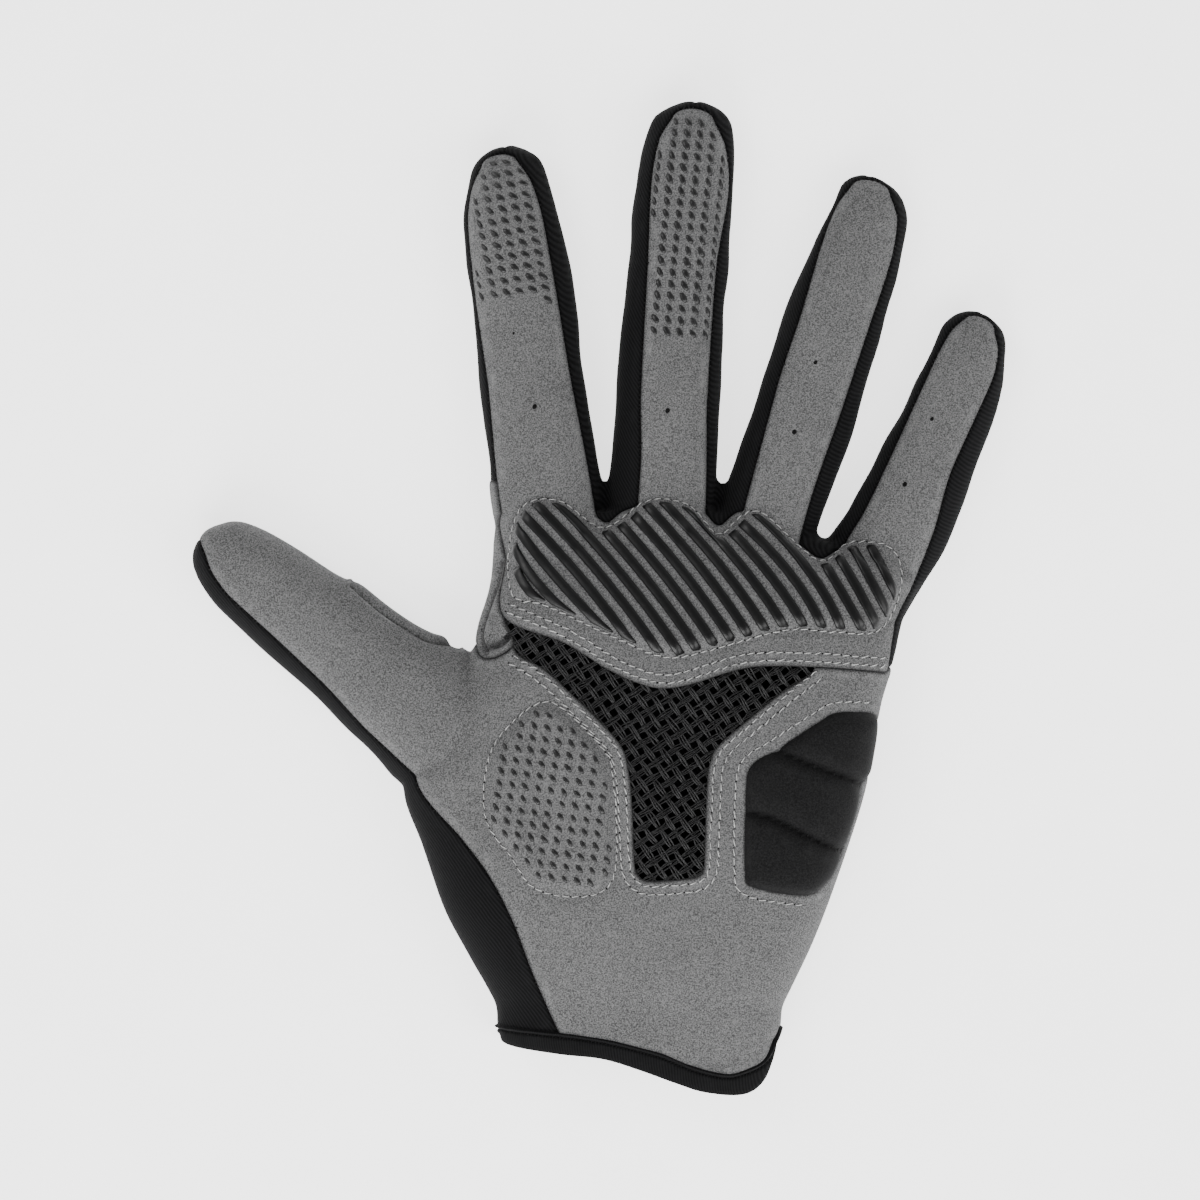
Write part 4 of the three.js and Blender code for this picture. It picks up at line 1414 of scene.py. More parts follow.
@dataclass
class SuedePalm:
    """The grey suede panels: knuckles with fingers, heel with thumb, and the thumb gusset."""

    shop: Workshop
    lift: float = 0.3
    roll: float = 0.55
    roll_radius: float = 1.1
    band_lift: float = 0.25
    stitch_dent: float = 0.3
    fold_depth: float = 0.9
    fold_shade: float = 2.2
    strip_rise: float = 0.55
    strip_middle: float = 0.9
    crease_depth: float = 0.4
    hem_rise: float = 0.7
    hollow_depth: float = 1.7
    solids: list[Solid] = field(default_factory=list)

    @staticmethod
    def _near(skin: Skin, rows: Table) -> Array:
        """Distance in plan of a skin's points from a line, up to FAR."""
        return line_distance(curve(place(rows), 1.0, False), skin.points[:, :2], False)

    def _height(self, skin: Skin) -> Array:
        """Height of the suede's face over the form, with rolled edges and sewn dents.

        Args:
            skin: The panel's stretch of the form.

        Returns:
            One height a point, mm.
        """
        height = self.lift - self.roll * (1 - rolled(skin.fields["seam"], self.roll_radius))
        for pad in ("knuckle", "thenar"):
            height = height - self.stitch_dent * bell(skin.fields[pad], 0.9)
        return height

    def _folded(self, name: str, loops: Sequence[float]) -> Skin:
        """Cut a panel with edge loops beside its seams and beside its fold.

        Args:
            name: The panel's field.
            loops: Distances of the seam's loops.

        Returns:
            The panel's surface.
        """
        skin = self.shop.form.cut(name, loops)
        for loop in FOLD_LOOPS:
            skin = skin.split("fold", loop)
        return skin

    def upper(self) -> None:
        """Knuckle band and the palm side of the four fingers."""
        skin = self.shop.form.cut("upper", EDGE_LOOPS)
        band = 1 - soft_step(skin.points[:, 1], 30.0, 44.0)
        faces = (self._height(skin) + self.band_lift * band, -CLOTH)
        nodes = ["palm_upper", *(f"face_{n}" for n in ("index", "middle", "ring", "little"))]
        self.solids.append(
            self.shop.cloth("palm_upper_suede", skin, faces, "suede", "suede", nodes))

    def lower(self) -> None:
        """Heel of the hand, ball of the thumb and the thumb's palm side."""
        skin = self.shop.form.skin
        window = skin.fields["heel"] - 0.5
        skin.fields["fold"] = self._near(skin, THUMB_FOLD)
        skin.fields["lower_cut"] = np.minimum(skin.fields["lower"], -window)
        skin = self._folded("lower_cut", EDGE_LOOPS)
        fold = skin.fields["fold"]
        beyond = above_line(place(THUMB_FOLD), skin.points[:, :2]) > 0
        strip = np.where(beyond, self.strip_rise * bell(fold - self.strip_middle, 0.6), 0.0)
        crease = self.crease_depth * bell(self._near(skin, HEEL_CREASE), 1.3)
        height = self._height(skin) + strip - crease - self.fold_depth * bell(fold, 0.35)
        # Painted shade along the thumb's fold: the lowered seam field darkens it in the finish
        skin.fields["seam"] = np.minimum(skin.fields["seam"], self.fold_shade * fold)
        self.solids.append(
            self.shop.cloth("palm_lower_suede", skin, (height, -CLOTH), "suede", "suede",
                            ["palm_lower", "face_thumb"]))

    def gusset(self) -> None:
        """Folded suede between the thumb and the index finger."""
        skin = self.shop.form.skin
        skin.fields["fold"] = self._near(skin, GUSSET_FOLD)
        skin = self._folded("gusset", EDGE_LOOPS[:3])
        fold, hem = skin.fields["fold"], self._near(skin, GUSSET_HEM)
        hollow = self._near(skin, GUSSET_HOLLOW)
        height = self._height(skin) - self.fold_depth * bell(fold, 0.5)
        height += self.hem_rise * bell(hem, 0.75) - self.hollow_depth * bell(hollow, 1.1)
        # Painted shade in the fold, in the hollow and under the hem, carried by the seam field
        dark = np.minimum(1.5 * fold, 0.2 + 0.4 * hollow + bell(hem, 0.6))
        skin.fields["seam"] = np.minimum(skin.fields["seam"], dark)
        faces = (height, np.minimum(-CLOTH, height - 0.8))
        self.solids.append(
            self.shop.cloth("thumb_gusset_suede", skin, faces, "suede", "suede", ["thumb_gusset"]))


@dataclass
class KnitShell:
    """The black knit: back of the hand and the strips between the fingers."""

    shop: Workshop
    roll: float = 0.5
    roll_radius: float = 0.9
    solids: list[Solid] = field(default_factory=list)

    def _piece(self, field_name: str, name: str, nodes: Sequence[str]) -> None:
        """Make one knit piece from its field of the form.

        Args:
            field_name: The field.
            name: The piece's name.
            nodes: CAD nodes that it replaces.
        """
        skin = self.shop.form.cut(field_name, EDGE_LOOPS[:3])
        height = -self.roll * (1 - rolled(skin.fields["seam"], self.roll_radius))
        self.solids.append(self.shop.cloth(name, skin, (height, -CLOTH), "knit", "knit", nodes))

    def back(self) -> None:
        """Back of the hand and of all five fingers, turned up at the outer edges."""
        self._piece("back", "back_knit", ["back_hand", *(f"back_{name}" for name in FINGERS)])

    def strips(self) -> None:
        """Side strips in the three finger crotches."""
        for name in ("index_middle", "middle_ring", "ring_little"):
            self._piece(name, f"finger_strip_{name}", [f"fourchette_{name}"])


@dataclass
class CuffBinding:
    """Folded elastic round the wrist opening, with a thin piping and a stitch line on top."""

    shop: Workshop
    swell: float = 0.6
    fold_radius: float = 1.3
    piping_at: float = 0.5
    piping_rise: float = 0.55
    stitch_at: float = 1.15
    stitch_dent: float = 0.4
    stitch_pitch: float = 0.8

    def build(self) -> Solid:
        """Make the binding and give back its solid.

        Returns:
            The binding, which its stitches lie on.
        """
        skin = self.shop.form.cut("binding", (0.2, 0.5, 1.0, 1.6))
        for loop in (-0.25, -0.5, -0.75, -0.95, -1.15, -1.35, -1.6):
            skin = skin.split("wrist", loop)
        down = -skin.fields["wrist"]
        swell = self.swell * rolled(skin.fields["seam"], self.fold_radius) - 0.25
        piping = self.piping_rise * bell(down - self.piping_at, 0.33)
        dent = self.stitch_dent * bell(down - self.stitch_at, 0.25)
        lumps = Ripple(wavelength=7.0, amplitude=0.08, seed=23).at(skin.points)
        # Painted shade along the stitch dent, carried by the seam field
        stitch_dent_shade = 0.2 + 2.5 * np.abs(down - self.stitch_at)
        skin.fields["seam"] = np.minimum(skin.fields["seam"], stitch_dent_shade)
        faces = (swell + piping - dent + lumps, -CLOTH - swell)
        return self.shop.cloth("cuff_band", skin, faces, "elastic", "elastic", ["cuff_binding"])

    def stitches(self, cuff: Solid) -> None:
        """Sew the row of tiny dark stitches below the piping.

        Args:
            cuff: The binding, which the stitches lie on.
        """
        line = beside(curve(place(CUFF_TOP), 0.5, False), -self.stitch_at)[6:-8]
        spots = resample(line, self.stitch_pitch)
        run = directions(spots)
        turn = np.arctan2(run[:, 1], run[:, 0]) + math.radians(62)
        solid = scatter(capsule(0.6, 0.28, 0.08), spots, HeightMap([cuff]), turn, 0.05)
        self.shop.publish(solid.build("cuff_stitches", sharp=80.0), "dark_thread", "elastic")


@dataclass
class Pads:
    """Padded fields: knuckles, ball of the thumb and the black heel cushion."""

    shop: Workshop
    sunk: float = 0.35
    knuckle_rise: float = 1.1
    knuckle_lift: float = 0.5
    thenar_rise: float = 1.25
    thenar_lift: float = 0.3
    heel_rise: float = 2.35
    solids: list[Solid] = field(default_factory=list)

    def _cut(self, name: str, loops: Sequence[float]) -> Skin:
        """Surface of one pad with edge loops.

        Args:
            name: The pad's field.
            loops: Distances of the loops from its edge.

        Returns:
            The pad's surface, its seam field moved so that painted shade falls only in grooves.
        """
        skin = self.shop.form.cut(name, loops)
        skin.fields["seam"] = skin.fields[name] + 3.0
        return skin

    def suede_pad(self, name: str, rise: float, lift: float, node: str) -> None:
        """Make a puffed suede field.

        Args:
            name: The pad's field.
            rise: How far it stands up, mm.
            lift: Height of the suede round it, mm.
            node: The CAD node that it replaces.
        """
        skin = self._cut(name, (0.3, 0.8, 1.5, 2.4, 3.4))
        puff = (rise + self.sunk) * soft_step(skin.fields[name], -0.6, 3.2)
        self.solids.append(self.shop.cloth(f"{node}_suede", skin, (lift - self.sunk + puff, -0.4),
                                           "suede", "suede", [node], 0.5))

    def heel(self) -> None:
        """Make the black cushion with its three cells."""
        form = self.shop.form.skin
        lines = [curve(place(rows), 1.0, False) for rows in HEEL_GROOVES]
        plan = form.points[:, :2]
        form.fields["groove"] = np.min([line_distance(line, plan, False) for line in lines],
                                       axis=0)
        skin = self._cut("heel", (0.25, 0.6, 1.1, 1.8, 2.8))
        for loop in (0.25, 0.7, 1.3, 2.2):
            skin = skin.split("groove", loop)
        depth, groove = skin.fields["heel"], skin.fields["groove"]
        swollen = 1 - np.exp(-np.maximum(depth, 0) / 1.3)
        valley = 1 - 0.72 * np.exp(-((groove / 1.35) ** 1.4))
        crumple = Ripple(wavelength=5.0, amplitude=0.1, seed=31).at(skin.points)
        crumple *= np.exp(-groove / 3.0)
        height = -self.sunk + (self.heel_rise + self.sunk) * swollen * valley + crumple
        # Painted shade in the grooves and along the cushion's edge, carried by the seam field
        skin.fields["seam"] = np.minimum(depth + 0.4, 0.1 + 0.5 * groove)
        self.solids.append(self.shop.cloth("heel_cushion", skin, (height, -0.9), "pad",
                                           "pad_leather", ["heel_pad"], 0.7))


def tube(path: Array, normals: Array, profile: Array, taper: Optional[Array] = None,
         tall: Optional[Array] = None) -> Solid:
    """Sweep a closed profile along a path.

    Args:
        path: Points of the path, mm.
        normals: Unit normals that the profile's second axis follows.
        profile: Rows of (sideways, up), anticlockwise.
        taper: Scale of the profile's width at each point.
        tall: Scale of its height, the same as its width's where left out.

    Returns:
        The closed tube.
    """
    run = directions(path)
    side = np.cross(run, normals)
    side /= np.maximum(np.linalg.norm(side, axis=1, keepdims=True), 1e-9)
    up = np.cross(side, run)
    scale = np.ones(len(path)) if taper is None else taper
    scales = np.stack([scale, scale if tall is None else tall], axis=1)
    ring = profile[None, :, :] * scales[:, None, :]
    points = path[:, None] + ring[..., :1] * side[:, None] + ring[..., 1:] * up[:, None]
    count, size = points.shape[:2]
    a = (np.arange(count - 1)[:, None] * size + np.arange(size)[None]).ravel()
    b = (np.arange(count - 1)[:, None] * size + (np.arange(size)[None] + 1) % size).ravel()
    faces = [np.stack([a, b + size, b], axis=1), np.stack([a, a + size, b + size], axis=1)]
    fan = np.arange(1, size - 1)
    faces.append(np.stack([np.zeros_like(fan), fan, fan + 1], axis=1))
    last = (count - 1) * size
    faces.append(np.stack([np.full_like(fan, last), last + fan + 1, last + fan], axis=1))
    return Solid(points.reshape(-1, 3), np.concatenate(faces))


def oval_profile(width: float, height: float, sides: int) -> Array:
    """Closed oval section, anticlockwise."""
    angle = np.linspace(0, 2 * math.pi, sides, endpoint=False)
    return np.stack([width / 2 * np.cos(angle), height / 2 * np.sin(angle)], axis=1)


@dataclass
class NetInsert:
    """Open net between the suede panels, woven of two thick families of yarn."""

    shop: Workshop
    pitch: float = 2.6
    yarn_width: float = 1.35
    yarn_height: float = 0.42
    filaments: tuple[int, int] = (4, 3)
    filament_share: float = 0.8
    sink: float = 0.5
    weave: float = 0.2
    wander: float = 0.15
    spacing: float = 0.65
    under_suede: float = 1.6
    angles: tuple[float, float] = (33.0, 125.0)

    def build(self) -> None:
        """Make the net."""
        skin = self.shop.form.skin
        field_skin = Skin(skin.points, skin.normals, skin.faces,
                          {"net": skin.fields["net"]}).keep("net", -self.under_suede - 1.5)
        ground = Solid(field_skin.points, field_skin.faces)
        heights = HeightMap([ground])
        outline = curve(place(NET_FIELD), 1.0, True)
        band = curve(place(KNUCKLE_BAND), 1.2, True)
        strands: list[Solid] = []
        middle = (outline.min(0) + outline.max(0)) / 2
        reach = np.linalg.norm(outline.max(0) - outline.min(0)) / 2
        for family, angle in enumerate(self.angles):
            run = np.array([math.cos(math.radians(angle)), math.sin(math.radians(angle))])
            across = np.array([-run[1], run[0]])
            for k in range(-int(reach / self.pitch), int(reach / self.pitch) + 1):
                along = np.arange(-reach, reach, self.spacing)
                plan = middle + across * k * self.pitch + along[:, None] * run
                keep = depth_inside(outline, plan) > -self.under_suede
                keep &= depth_inside(band, plan) < self.under_suede
                beat = np.cos(math.pi * along / self.pitch + math.pi * (k + family))
                for part in np.split(np.arange(len(plan)), np.flatnonzero(np.diff(keep)) + 1):
                    if len(part) > 4 and keep[part[0]]:
                        strands += self._yarns(plan[part], beat[part], across, family, heights)
        piece = joined(strands).build("net_yarns", sharp=80.0)
        self.shop.publish(piece, "net", "net", ["mesh_insert"])

    def _yarns(self, plan: Array, beat: Array, across: Array, family: int,
               heights: HeightMap) -> list[Solid]:
        """The filaments of one yarn, which passes over and under the other family.

        Args:
            plan: Points of the yarn in plan.
            beat: 1 where it passes over, -1 where it passes under.
            across: Unit direction across it in plan.
            family: Which of the two families it belongs to.
            heights: The form that the net lies on.

        Returns:
            One tube a filament.
        """
        count = self.filaments[family]
        width = self.yarn_width / count
        profile = oval_profile(width * self.filament_share, self.yarn_height, 5)
        tubes = []
        for k in range(count):
            drift = Ripple(wavelength=4.5, amplitude=self.wander, seed=40 + 7 * family + k)
            flat = np.column_stack([plan, np.full(len(plan), 9.0 * k)])
            aside = (k - (count - 1) / 2) * width * (1.0 + 0.15 * beat) + drift.at(flat)
            spots = plan + aside[:, None] * across
            rise = Ripple(wavelength=3.0, amplitude=0.1, seed=60 + 5 * family + k).at(flat)
            level = heights.read(spots) - self.sink + self.weave * beat + rise
            tubes.append(tube(np.column_stack([spots, level]), heights.normal(spots), profile))
        return tubes


@dataclass
class GripStripes:
    """Raised silicone bars across the knuckle pad, cut off along the pad's outline."""

    shop: Workshop
    heights: HeightMap
    width: float = 2.12
    rise: float = 0.6
    margin: float = 0.75
    drop: float = 26.0
    spacing: float = 0.35
    shortest: float = 3.5
    middle_y: float = 0.307
    first_x: float = -0.305
    steps: Sequence[float] = (2.93, 5.18, 5.4, 4.95) + (4.7,) * 9 + (4.6, 4.3, 4.05, 4.05, 4.05)
    # Rows of (bar, lean, bow, top): how far a bar runs aside as it drops, how it bends, and how
    # far above the middle line it may start
    sweeps: Table = (
        (0, 0.55, -0.065, 2.7), (1, 0.8, -0.027, 8.0), (2, 0.87, -0.007, 14.0),
        (3, 0.84, 0.0044, 26.0), (9, 0.76, 0.005, 26.0), (12, 0.76, 0.009, 26.0),
        (13, 0.74, 0.014, 26.0), (14, 0.68, 0.013, 26.0), (15, 0.6, 0.003, 26.0),
        (18, 0.5, 0.002, 26.0),
    )

    def build(self, nodes: Sequence[str]) -> None:
        """Make all bars as one piece.

        Args:
            nodes: CAD bars that the piece stands for.
        """
        outline = curve(place(KNUCKLE_PAD), 1.0, True)
        places = self.first_x * PALM_WIDTH + np.concatenate([[0.0], np.cumsum(self.steps)])
        knots = np.array(self.sweeps).T
        shapes = [np.interp(np.arange(len(places)), knots[0], row) for row in knots[1:]]
        bars: list[Solid] = []
        for start, lean, bow, top in zip(places, *shapes):
            drop = np.arange(-top, self.drop, self.spacing)
            x = start + lean * drop - bow * drop ** 2
            line = np.stack([x, self.middle_y * PALM_LENGTH - drop], axis=1)
            bars += self._bars(line, outline)
        piece = joined(bars).build("grip_bars", sharp=70.0)
        self.shop.publish(piece, "silicone", "silicone", nodes)

    def _bars(self, line: Array, outline: Array) -> list[Solid]:
        """The longest stretch of one bar that lies inside the pad's outline.

        Args:
            line: The bar's middle line in plan.
            outline: The pad's outline.

        Returns:
            One bar, or none if it is short.
        """
        run = directions(line)
        side = np.stack([-run[:, 1], run[:, 0]], axis=1)
        shares = np.linspace(-0.5, 0.5, 13) * self.width
        spots = line[:, None] + shares[None, :, None] * side[:, None]
        clear = depth_inside(outline, spots.reshape(-1, 2)).reshape(spots.shape[:2]) > self.margin
        low = np.where(clear, shares, np.inf).min(1)
        high = np.where(clear, shares, -np.inf).max(1)
        wide = high - low > 0.3
        parts = np.split(np.arange(len(line)), np.flatnonzero(np.diff(wide)) + 1)
        part = max((part for part in parts if wide[part[0]]), key=len, default=parts[0][:0])
        if len(part) * self.spacing < self.shortest:
            return []
        middle = (low[part] + high[part]) / 2
        return [self._bar(line[part] + middle[:, None] * side[part],
                          (high - low)[part] / self.width)]

    def _bar(self, plan: Array, share: Array) -> Solid:
        """One bar with rounded shoulders, as wide at each point as its share says.

        Args:
            plan: The bar's middle line in plan.
            share: Share of the full width at each point.

        Returns:
            The bar.
        """
        keep = np.concatenate([[0], np.arange(2, len(plan) - 2, 2), [len(plan) - 1]])
        plan, share = plan[keep], share[keep]
        half, top = self.width / 2, self.rise + 0.15
        profile = np.array([
            (half, -0.2), (half, 0.45 * top), (half * 0.93, 0.78 * top), (half * 0.72, top),
            (0, top * 1.04), (-half * 0.72, top), (-half * 0.93, 0.78 * top),
            (-half, 0.45 * top), (-half, -0.2),
        ])
        run = np.concatenate([[0], np.cumsum(np.linalg.norm(np.diff(plan, axis=0), axis=1))])
        ends = np.minimum(run, run[-1] - run)
        tall = 0.35 + 0.65 * rolled(ends, 1.6)
        path = np.column_stack([plan, self.heights.read(plan) - 0.15])
        return tube(path, self.heights.normal(plan), profile, share, tall)


@dataclass(frozen=True)
class DotField:
    """A slanted lattice of ovals in one outline.

    The lattice is measured in the picture: one of its points, its steps across and down, and how
    many steps it goes each way. Sizes and the margin to the outline are mm, the tilt is degrees,
    and no oval lies below the lowest y.
    """

    first: tuple[float, float]
    across: tuple[float, float]
    down: tuple[float, float]
    steps: tuple[int, int]
    size: tuple[float, float]
    tilt: float
    margin: float
    lowest: float = -math.inf

    def lattice(self) -> Array:
        """Plan points of the lattice.

        Returns:
            One row a point, mm.
        """
        i, j = np.mgrid[-self.steps[0]:self.steps[0] + 1, -self.steps[1]:self.steps[1] + 1]
        return from_picture(np.array(self.first) + i.reshape(-1, 1) * np.array(self.across)
                            + j.reshape(-1, 1) * np.array(self.down))


@dataclass
class Dots:
    """Small raised silicone ovals on the fingertips and the ball of the thumb."""

    shop: Workshop
    heights: HeightMap
    rise: float = 0.38
    index: DotField = DotField((508, 235), (12.9, -1.6), (2.4, 11.6), (5, 9), (2.45, 1.22), 146.0,
                               0.7, 103.0)
    middle: DotField = DotField((690, 230), (12.9, 1.2), (-1.2, 11.6), (5, 14), (2.45, 1.22),
                                118.0, 0.7, 94.0)
    thenar: DotField = DotField((550, 800), (12.8, 1.8), (-1.8, 12.0), (9, 10), (2.15, 0.95),
                                125.0, 1.6)

    def _ovals(self, dots: DotField, outline: Array) -> Solid:
        """Ovals of one field that lie inside its outline.

        Args:
            dots: The field.
            outline: The outline's points.

        Returns:
            The ovals.
        """
        plan = dots.lattice()
        random = np.random.default_rng(len(plan))
        plan = plan[(depth_inside(outline, plan) > dots.margin) & (plan[:, 1] > dots.lowest)]
        angles = np.radians(dots.tilt + random.normal(0, 4, len(plan)))
        scale = random.normal(1.0, 0.05, len(plan))
        return scatter(dome(*dots.size, self.rise), plan, self.heights, angles, -0.06, scale)

    def build(self) -> None:
        """Make every oval as one piece."""
        piece = joined([
            self._ovals(self.index, FINGERS["index"].panel()),
            self._ovals(self.middle, FINGERS["middle"].panel()),
            self._ovals(self.thenar, curve(place(THENAR_PAD), 1.0, True)),
        ]).build("grip_dots", sharp=80.0)
        self.shop.publish(piece, "dots", "silicone")


def dome(length: float, width: float, rise: float) -> Solid:
    """Low oval dome on the plan, its long side along x, closed below.

    Args:
        length: Its long side, mm.
        width: Its short side, mm.
        rise: Its height, mm.

    Returns:
        The dome.
    """
    rings = ((1.0, -0.3), (1.0, 0.1), (0.82, 0.68), (0.45, 0.95))
    sides = 12
    angle = np.linspace(0, 2 * math.pi, sides, endpoint=False)
    points = [np.column_stack([length / 2 * r * np.cos(angle), width / 2 * r * np.sin(angle),
                               np.full(sides, rise * z)]) for r, z in rings]
    points.append(np.array([[0, 0, rise]]))
    faces = []
    for ring in range(len(rings) - 1):
        for k in range(sides):
            a, b = ring * sides + k, ring * sides + (k + 1) % sides
            faces += [(a, b, b + sides), (a, b + sides, a + sides)]
    top, last = len(rings) * sides, (len(rings) - 1) * sides
    faces += [(last + k, last + (k + 1) % sides, top) for k in range(sides)]
    faces += [(0, k + 1, k) for k in range(1, sides - 1)]
    return Solid(np.concatenate(points), np.array(faces))


def capsule(length: float, width: float, height: float) -> Solid:
    """Short thread bowed up in the middle, its long side along x.

    Args:
        length: Its length, mm.
        width: Its width, mm.
        height: How far its middle bows up, mm.

    Returns:
        The thread.
    """
    along = np.linspace(-0.5, 0.5, 7)
    taper = np.sqrt(np.clip(1 - (2 * along) ** 4, 0.06, 1))
    path = np.column_stack([along * length, np.zeros(7), height * (1 - (2 * along) ** 2) - 0.1])
    profile = oval_profile(width, width * 0.8, 6)
    return tube(path, np.tile([0.0, 0.0, 1.0], (7, 1)), profile, taper)


def scatter(template: Solid, plan: Array, heights: HeightMap, angles: Array,
            lift: float, scale: Optional[Array] = None) -> Solid:
    """Set copies of a small solid on a surface.

    Args:
        template: The solid, lying on the plan round the origin.
        plan: Where the copies go.
        heights: The surface.
        angles: Turn of each copy, radians.
        lift: Height over the surface, mm.
        scale: Size of each copy.

    Returns:
        All copies in one mesh.
    """
    normal = heights.normal(plan)
    run = np.stack([np.cos(angles), np.sin(angles), np.zeros(len(plan))], axis=1)
    run -= normal * (run * normal).sum(1, keepdims=True)
    run /= np.linalg.norm(run, axis=1, keepdims=True)
    side = np.cross(normal, run)
    seat = np.column_stack([plan, heights.read(plan)]) + lift * normal
    size = np.ones(len(plan)) if scale is None else scale
    local = template.points[None] * size[:, None, None]
    points = (seat[:, None] + local[..., :1] * run[:, None] + local[..., 1:2] * side[:, None]
              + local[..., 2:] * normal[:, None])
    shift = (np.arange(len(plan)) * len(template.points))[:, None, None]
    return Solid(points.reshape(-1, 3), (template.faces[None] + shift).reshape(-1, 3))


@dataclass
class Stitching:
    """Rows of pale thread, with dark domes between stitches painting the needle holes' shadow."""

    shop: Workshop
    heights: HeightMap
    pitch: float = 2.1
    length: float = 1.65
    width: float = 0.22
    slant: float = 9.0
    row_offsets: tuple[float, float] = (1.2, 3.0)
    heel_offset: float = 2.1
    hole_size: tuple[float, float, float] = (0.38, 0.3, 0.12)
    edge_pitch: float = 1.0
    edge_size: tuple[float, float] = (1.0, 0.34)

    def rows(self) -> list[Array]:
        """Lines in plan that the rows follow.

        Returns:
            One line a row.
        """
        band = curve(place(KNUCKLE_BAND[BAND_LOWER]), 0.5, False)
        net = curve(place(NET_FIELD[NET_LOWER]), 0.5, False)
        closed = [curve(place(rows), 0.5, True) for rows in (KNUCKLE_PAD, THENAR_PAD)]
        closed = [np.concatenate([line, line[:1]]) for line in closed]
        heel_rows = [*HEEL_PAD[HEEL_STITCH_FROM:-2], *HEEL_PAD[:HEEL_STITCH_TO]]
        heel = curve(place(heel_rows), 0.5, False)
        return [
            *(beside(band, offset) for offset in self.row_offsets),
            *(beside(net, -offset) for offset in self.row_offsets),
            *closed, beside(heel, self.heel_offset),
        ]

    def build(self) -> None:
        """Make all stitches and the dark domes that paint their holes' shadow."""
        random = np.random.default_rng(3)
        spots, angles, holes = [], [], []
        for line in self.rows():
            seats = resample(resample(line, 0.25), self.pitch)
            middles = (seats[:-1] + seats[1:]) / 2
            turn = np.arctan2(*(seats[1:] - seats[:-1]).T[::-1])
            spots.append(middles + random.normal(0, 0.04, middles.shape))
            angles.append(turn + math.radians(self.slant) + random.normal(0, 0.09, len(turn)))
            holes.append(seats)
        plan, angle = np.concatenate(spots), np.concatenate(angles)
        scale = random.normal(1.0, 0.08, len(plan))
        solid = scatter(capsule(self.length, self.width, 0.2), plan, self.heights, angle, 0.07,
                        scale)
        self.shop.publish(solid.build("stitches", sharp=80.0), "thread", "suede")
        # Painted shadow: dark domes stand for the needle holes
        plan = np.concatenate(holes)
        scale = random.uniform(0.6, 1.25, len(plan))
        solid = scatter(dome(*self.hole_size), plan, self.heights, np.zeros(len(plan)), 0.0, scale)
        self.shop.publish(solid.build("needle_hole_shadows", sharp=80.0), "hole", "suede")

    def edges(self) -> None:
        """Sew the dark overlock stitches that bind the suede to the knit."""
        random = np.random.default_rng(8)
        panels = [finger.panel() for finger in FINGERS.values()]
        fields = [curve(place(rows), 1.2, True) for rows in (KNUCKLE_BAND, HEEL_FIELD)]
        spots, angles = [], []
        for line in [*panels, curve(place(HEEL_FIELD[8:]), 0.5, False)]:
            seats = resample(line, self.edge_pitch)
            run = directions(seats)
            clear = self.heights.read(seats) > SPLIT_HEIGHT + 0.6
            # Seats inside another suede outline are left out, but not those on their own
            for other in [*fields, panels[-1]]:
                depth = depth_inside(other, seats)
                if np.abs(depth).max() > 0.7:
                    clear &= depth < -0.5
            spots.append(seats[clear] + random.normal(0, 0.12, (clear.sum(), 2)))
            turn = np.arctan2(run[:, 1], run[:, 0])[clear] + math.pi / 2
            angles.append(turn + random.normal(0, 0.35, len(turn)))
        plan, angle = np.concatenate(spots), np.concatenate(angles)
        scale = random.uniform(0.6, 1.2, len(plan))
        solid = scatter(capsule(*self.edge_size, 0.1), plan, self.heights, angle, -0.02, scale)
        self.shop.publish(solid.build("edge_stitches", sharp=80.0), "dark_thread", "knit")


@dataclass
class Tacks:
    """Small dark tack stitches on the palm side of the fingers."""

    shop: Workshop
    heights: HeightMap
    # Place in the picture and size
    spots: Table = (
        (535, 408, 0.8), (667, 412, 0.8), (793, 433, 0.8), (903, 485, 0.8), (814, 364, 0.65),
        (930, 420, 0.65), (514, 335, 0.4),
    )

    def build(self) -> None:
        """Make the tacks as one piece."""
        spots = np.array(self.spots)
        solid = scatter(dome(1.5, 1.2, 0.25), from_picture(spots[:, :2]), self.heights,
                        np.full(len(spots), math.radians(60)), 0.0, spots[:, 2])
        self.shop.publish(solid.build("tack_dots"), "hole", "suede")


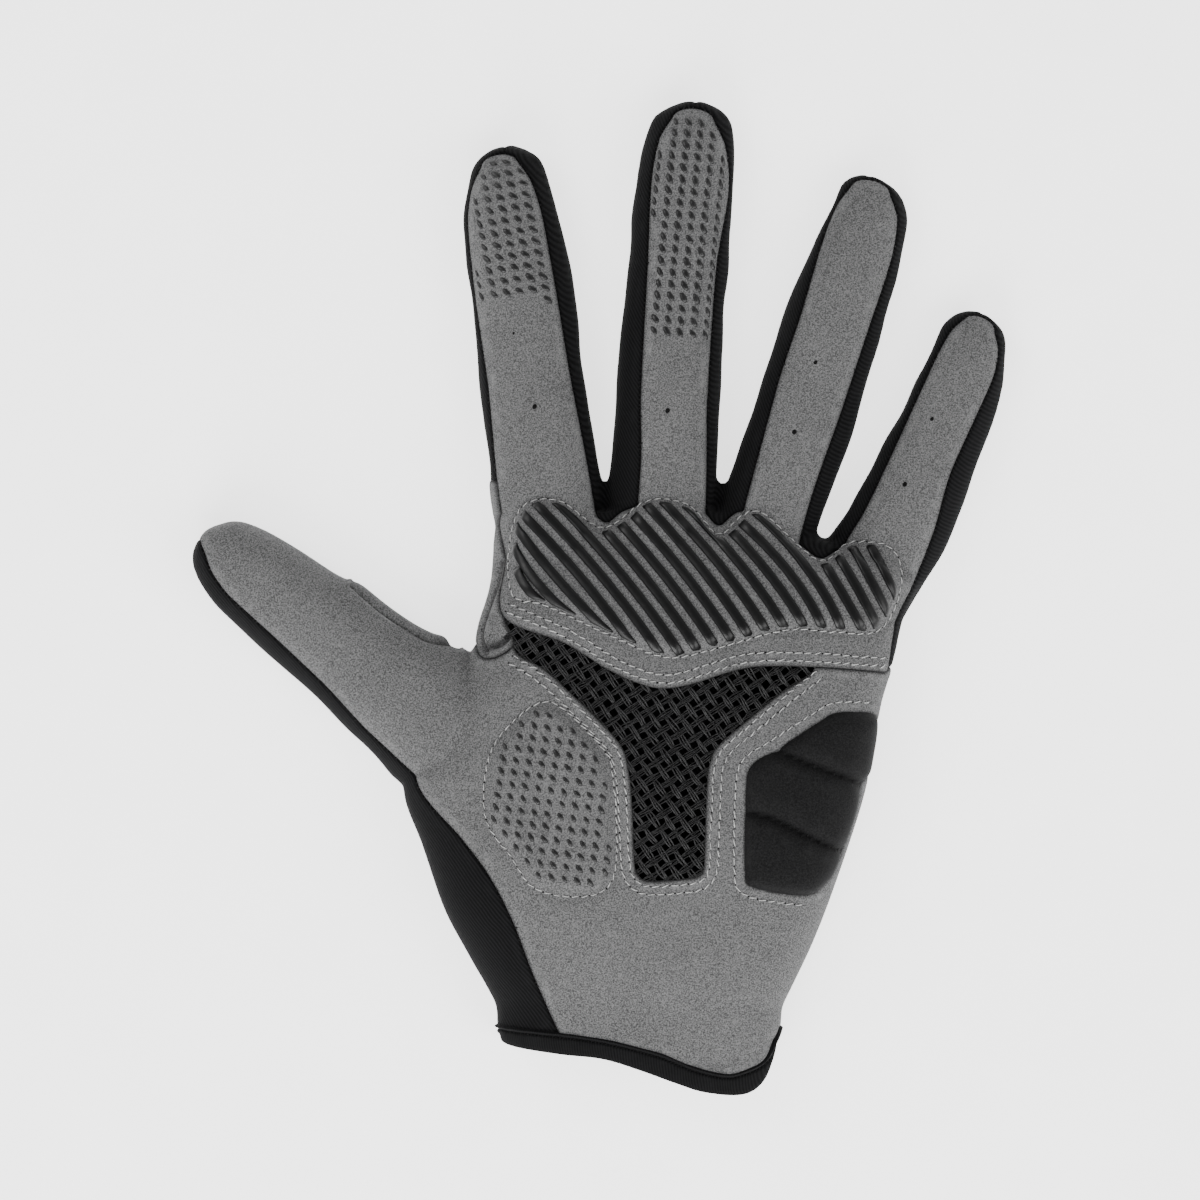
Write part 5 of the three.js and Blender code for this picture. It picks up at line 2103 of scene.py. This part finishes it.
@dataclass
class Studio:
    """Pale floor, soft lights and the camera straight above.

    The camera's centre, height and the width it sees at the view level are mm, the floor's reach
    is metres.
    """

    centre: tuple[float, float] = (-12.4, 36.0)
    view_width: float = 270.0
    view_level: float = 6.0
    height: float = 1200.0
    wall_light: float = 0.85
    ceiling_light: float = 0.25
    floor_glow: float = 2.0
    floor_reach: float = 3.0
    sensor: float = 36.0
    # Name, place in metres, size and power
    lights: Sequence[tuple[str, tuple[float, float, float], float, float]] = (
        ("key", (-0.9, 0.6, 0.95), 0.9, 9.0),
        ("fill", (0.95, -0.6, 0.9), 1.0, 15.0),
        ("rim", (-0.25, -0.8, 0.55), 0.7, 12.5),
    )

    def build(self, material: bpy.types.Material) -> None:
        """Set the stage.

        Args:
            material: The floor's finish.
        """
        scene = bpy.context.scene
        mesh = bpy.data.meshes.new("floor")
        corners = ((-1, -1), (1, -1), (1, 1), (-1, 1))
        mesh.from_pydata([(x * self.floor_reach, y * self.floor_reach, 0) for x, y in corners],
                         [], [(0, 1, 2, 3)])
        floor = bpy.data.objects.new("floor", mesh)
        scene.collection.objects.link(floor)
        shader = material.node_tree.nodes["Principled BSDF"]
        shader.inputs["Emission Color"].default_value = (1, 1, 1, 1)
        shader.inputs["Emission Strength"].default_value = self.floor_glow
        floor.data.materials.append(material)
        camera = bpy.data.objects.new("camera", bpy.data.cameras.new("camera"))
        camera.data.sensor_width = self.sensor
        camera.data.lens = self.sensor * (self.height - self.view_level) / self.view_width
        camera.location = (self.centre[0] * MM, self.centre[1] * MM, self.height * MM)
        scene.collection.objects.link(camera)
        scene.camera = camera
        scene.world = self._surroundings()
        for light in self.lights:
            self._light(*light)

    def _surroundings(self) -> bpy.types.World:
        """White studio walls under a dimmer ceiling.

        Returns:
            The world.
        """
        world = bpy.data.worlds.new("studio")
        world.use_nodes = True
        w = Wiring(world.node_tree)
        parts = w.node("ShaderNodeSeparateXYZ")
        w.link(w.node("ShaderNodeTexCoord").outputs["Generated"], parts.inputs[0])
        fade = w.node("ShaderNodeMapRange", interpolation_type="SMOOTHSTEP")
        fade.inputs["From Min"].default_value = 0.45
        fade.inputs["From Max"].default_value = 0.95
        fade.inputs["To Min"].default_value = self.wall_light
        fade.inputs["To Max"].default_value = self.ceiling_light
        w.link(parts.outputs[2], fade.inputs["Value"])
        w.link(fade.outputs[0], world.node_tree.nodes["Background"].inputs["Strength"])
        world.node_tree.nodes["Background"].inputs["Color"].default_value = (1, 1, 1, 1)
        return world

    @staticmethod
    def _light(name: str, spot: tuple[float, float, float], size: float, power: float) -> None:
        """Add one soft square light that looks at the glove.

        Args:
            name: Its name.
            spot: Its place, m.
            size: Its side, m.
            power: Its power, W.
        """
        data = bpy.data.lights.new(name, "AREA")
        data.size = size
        data.energy = power
        light = bpy.data.objects.new(name, data)
        light.location = spot
        light.rotation_euler = (Vector((0, 0.03, 0)) - Vector(spot)).to_track_quat(
            "-Z", "Y").to_euler()
        bpy.context.scene.collection.objects.link(light)


def main() -> None:
    """Build the glove piece by piece and set the scene."""
    logging.basicConfig(level=logging.INFO, format="%(name)s %(message)s")
    effects = SharedEffects()
    materials = {key: finish.make(effects) for key, finish in FINISHES.items()}
    shop = Workshop(GloveForm(), materials)
    log.info("form: %d points", len(shop.form.skin.points))
    palm = SuedePalm(shop)
    palm.upper()
    palm.lower()
    palm.gusset()
    knit = KnitShell(shop)
    knit.back()
    knit.strips()
    cuff = CuffBinding(shop)
    cuff.stitches(cuff.build())
    pads = Pads(shop)
    pads.suede_pad("knuckle", pads.knuckle_rise, pads.knuckle_lift, "knuckle_pad")
    pads.suede_pad("thenar", pads.thenar_rise, pads.thenar_lift, "thenar_pad")
    pads.heel()
    NetInsert(shop).build()
    heights = HeightMap([*palm.solids, *knit.solids, *pads.solids])
    bars = [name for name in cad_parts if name.startswith("grip_stripe")]
    GripStripes(shop, heights).build(bars)
    Dots(shop, heights).build()
    stitching = Stitching(shop, heights)
    stitching.build()
    stitching.edges()
    Tacks(shop, heights).build()
    Studio().build(materials["table"])


if __name__ == "__main__":
    main()
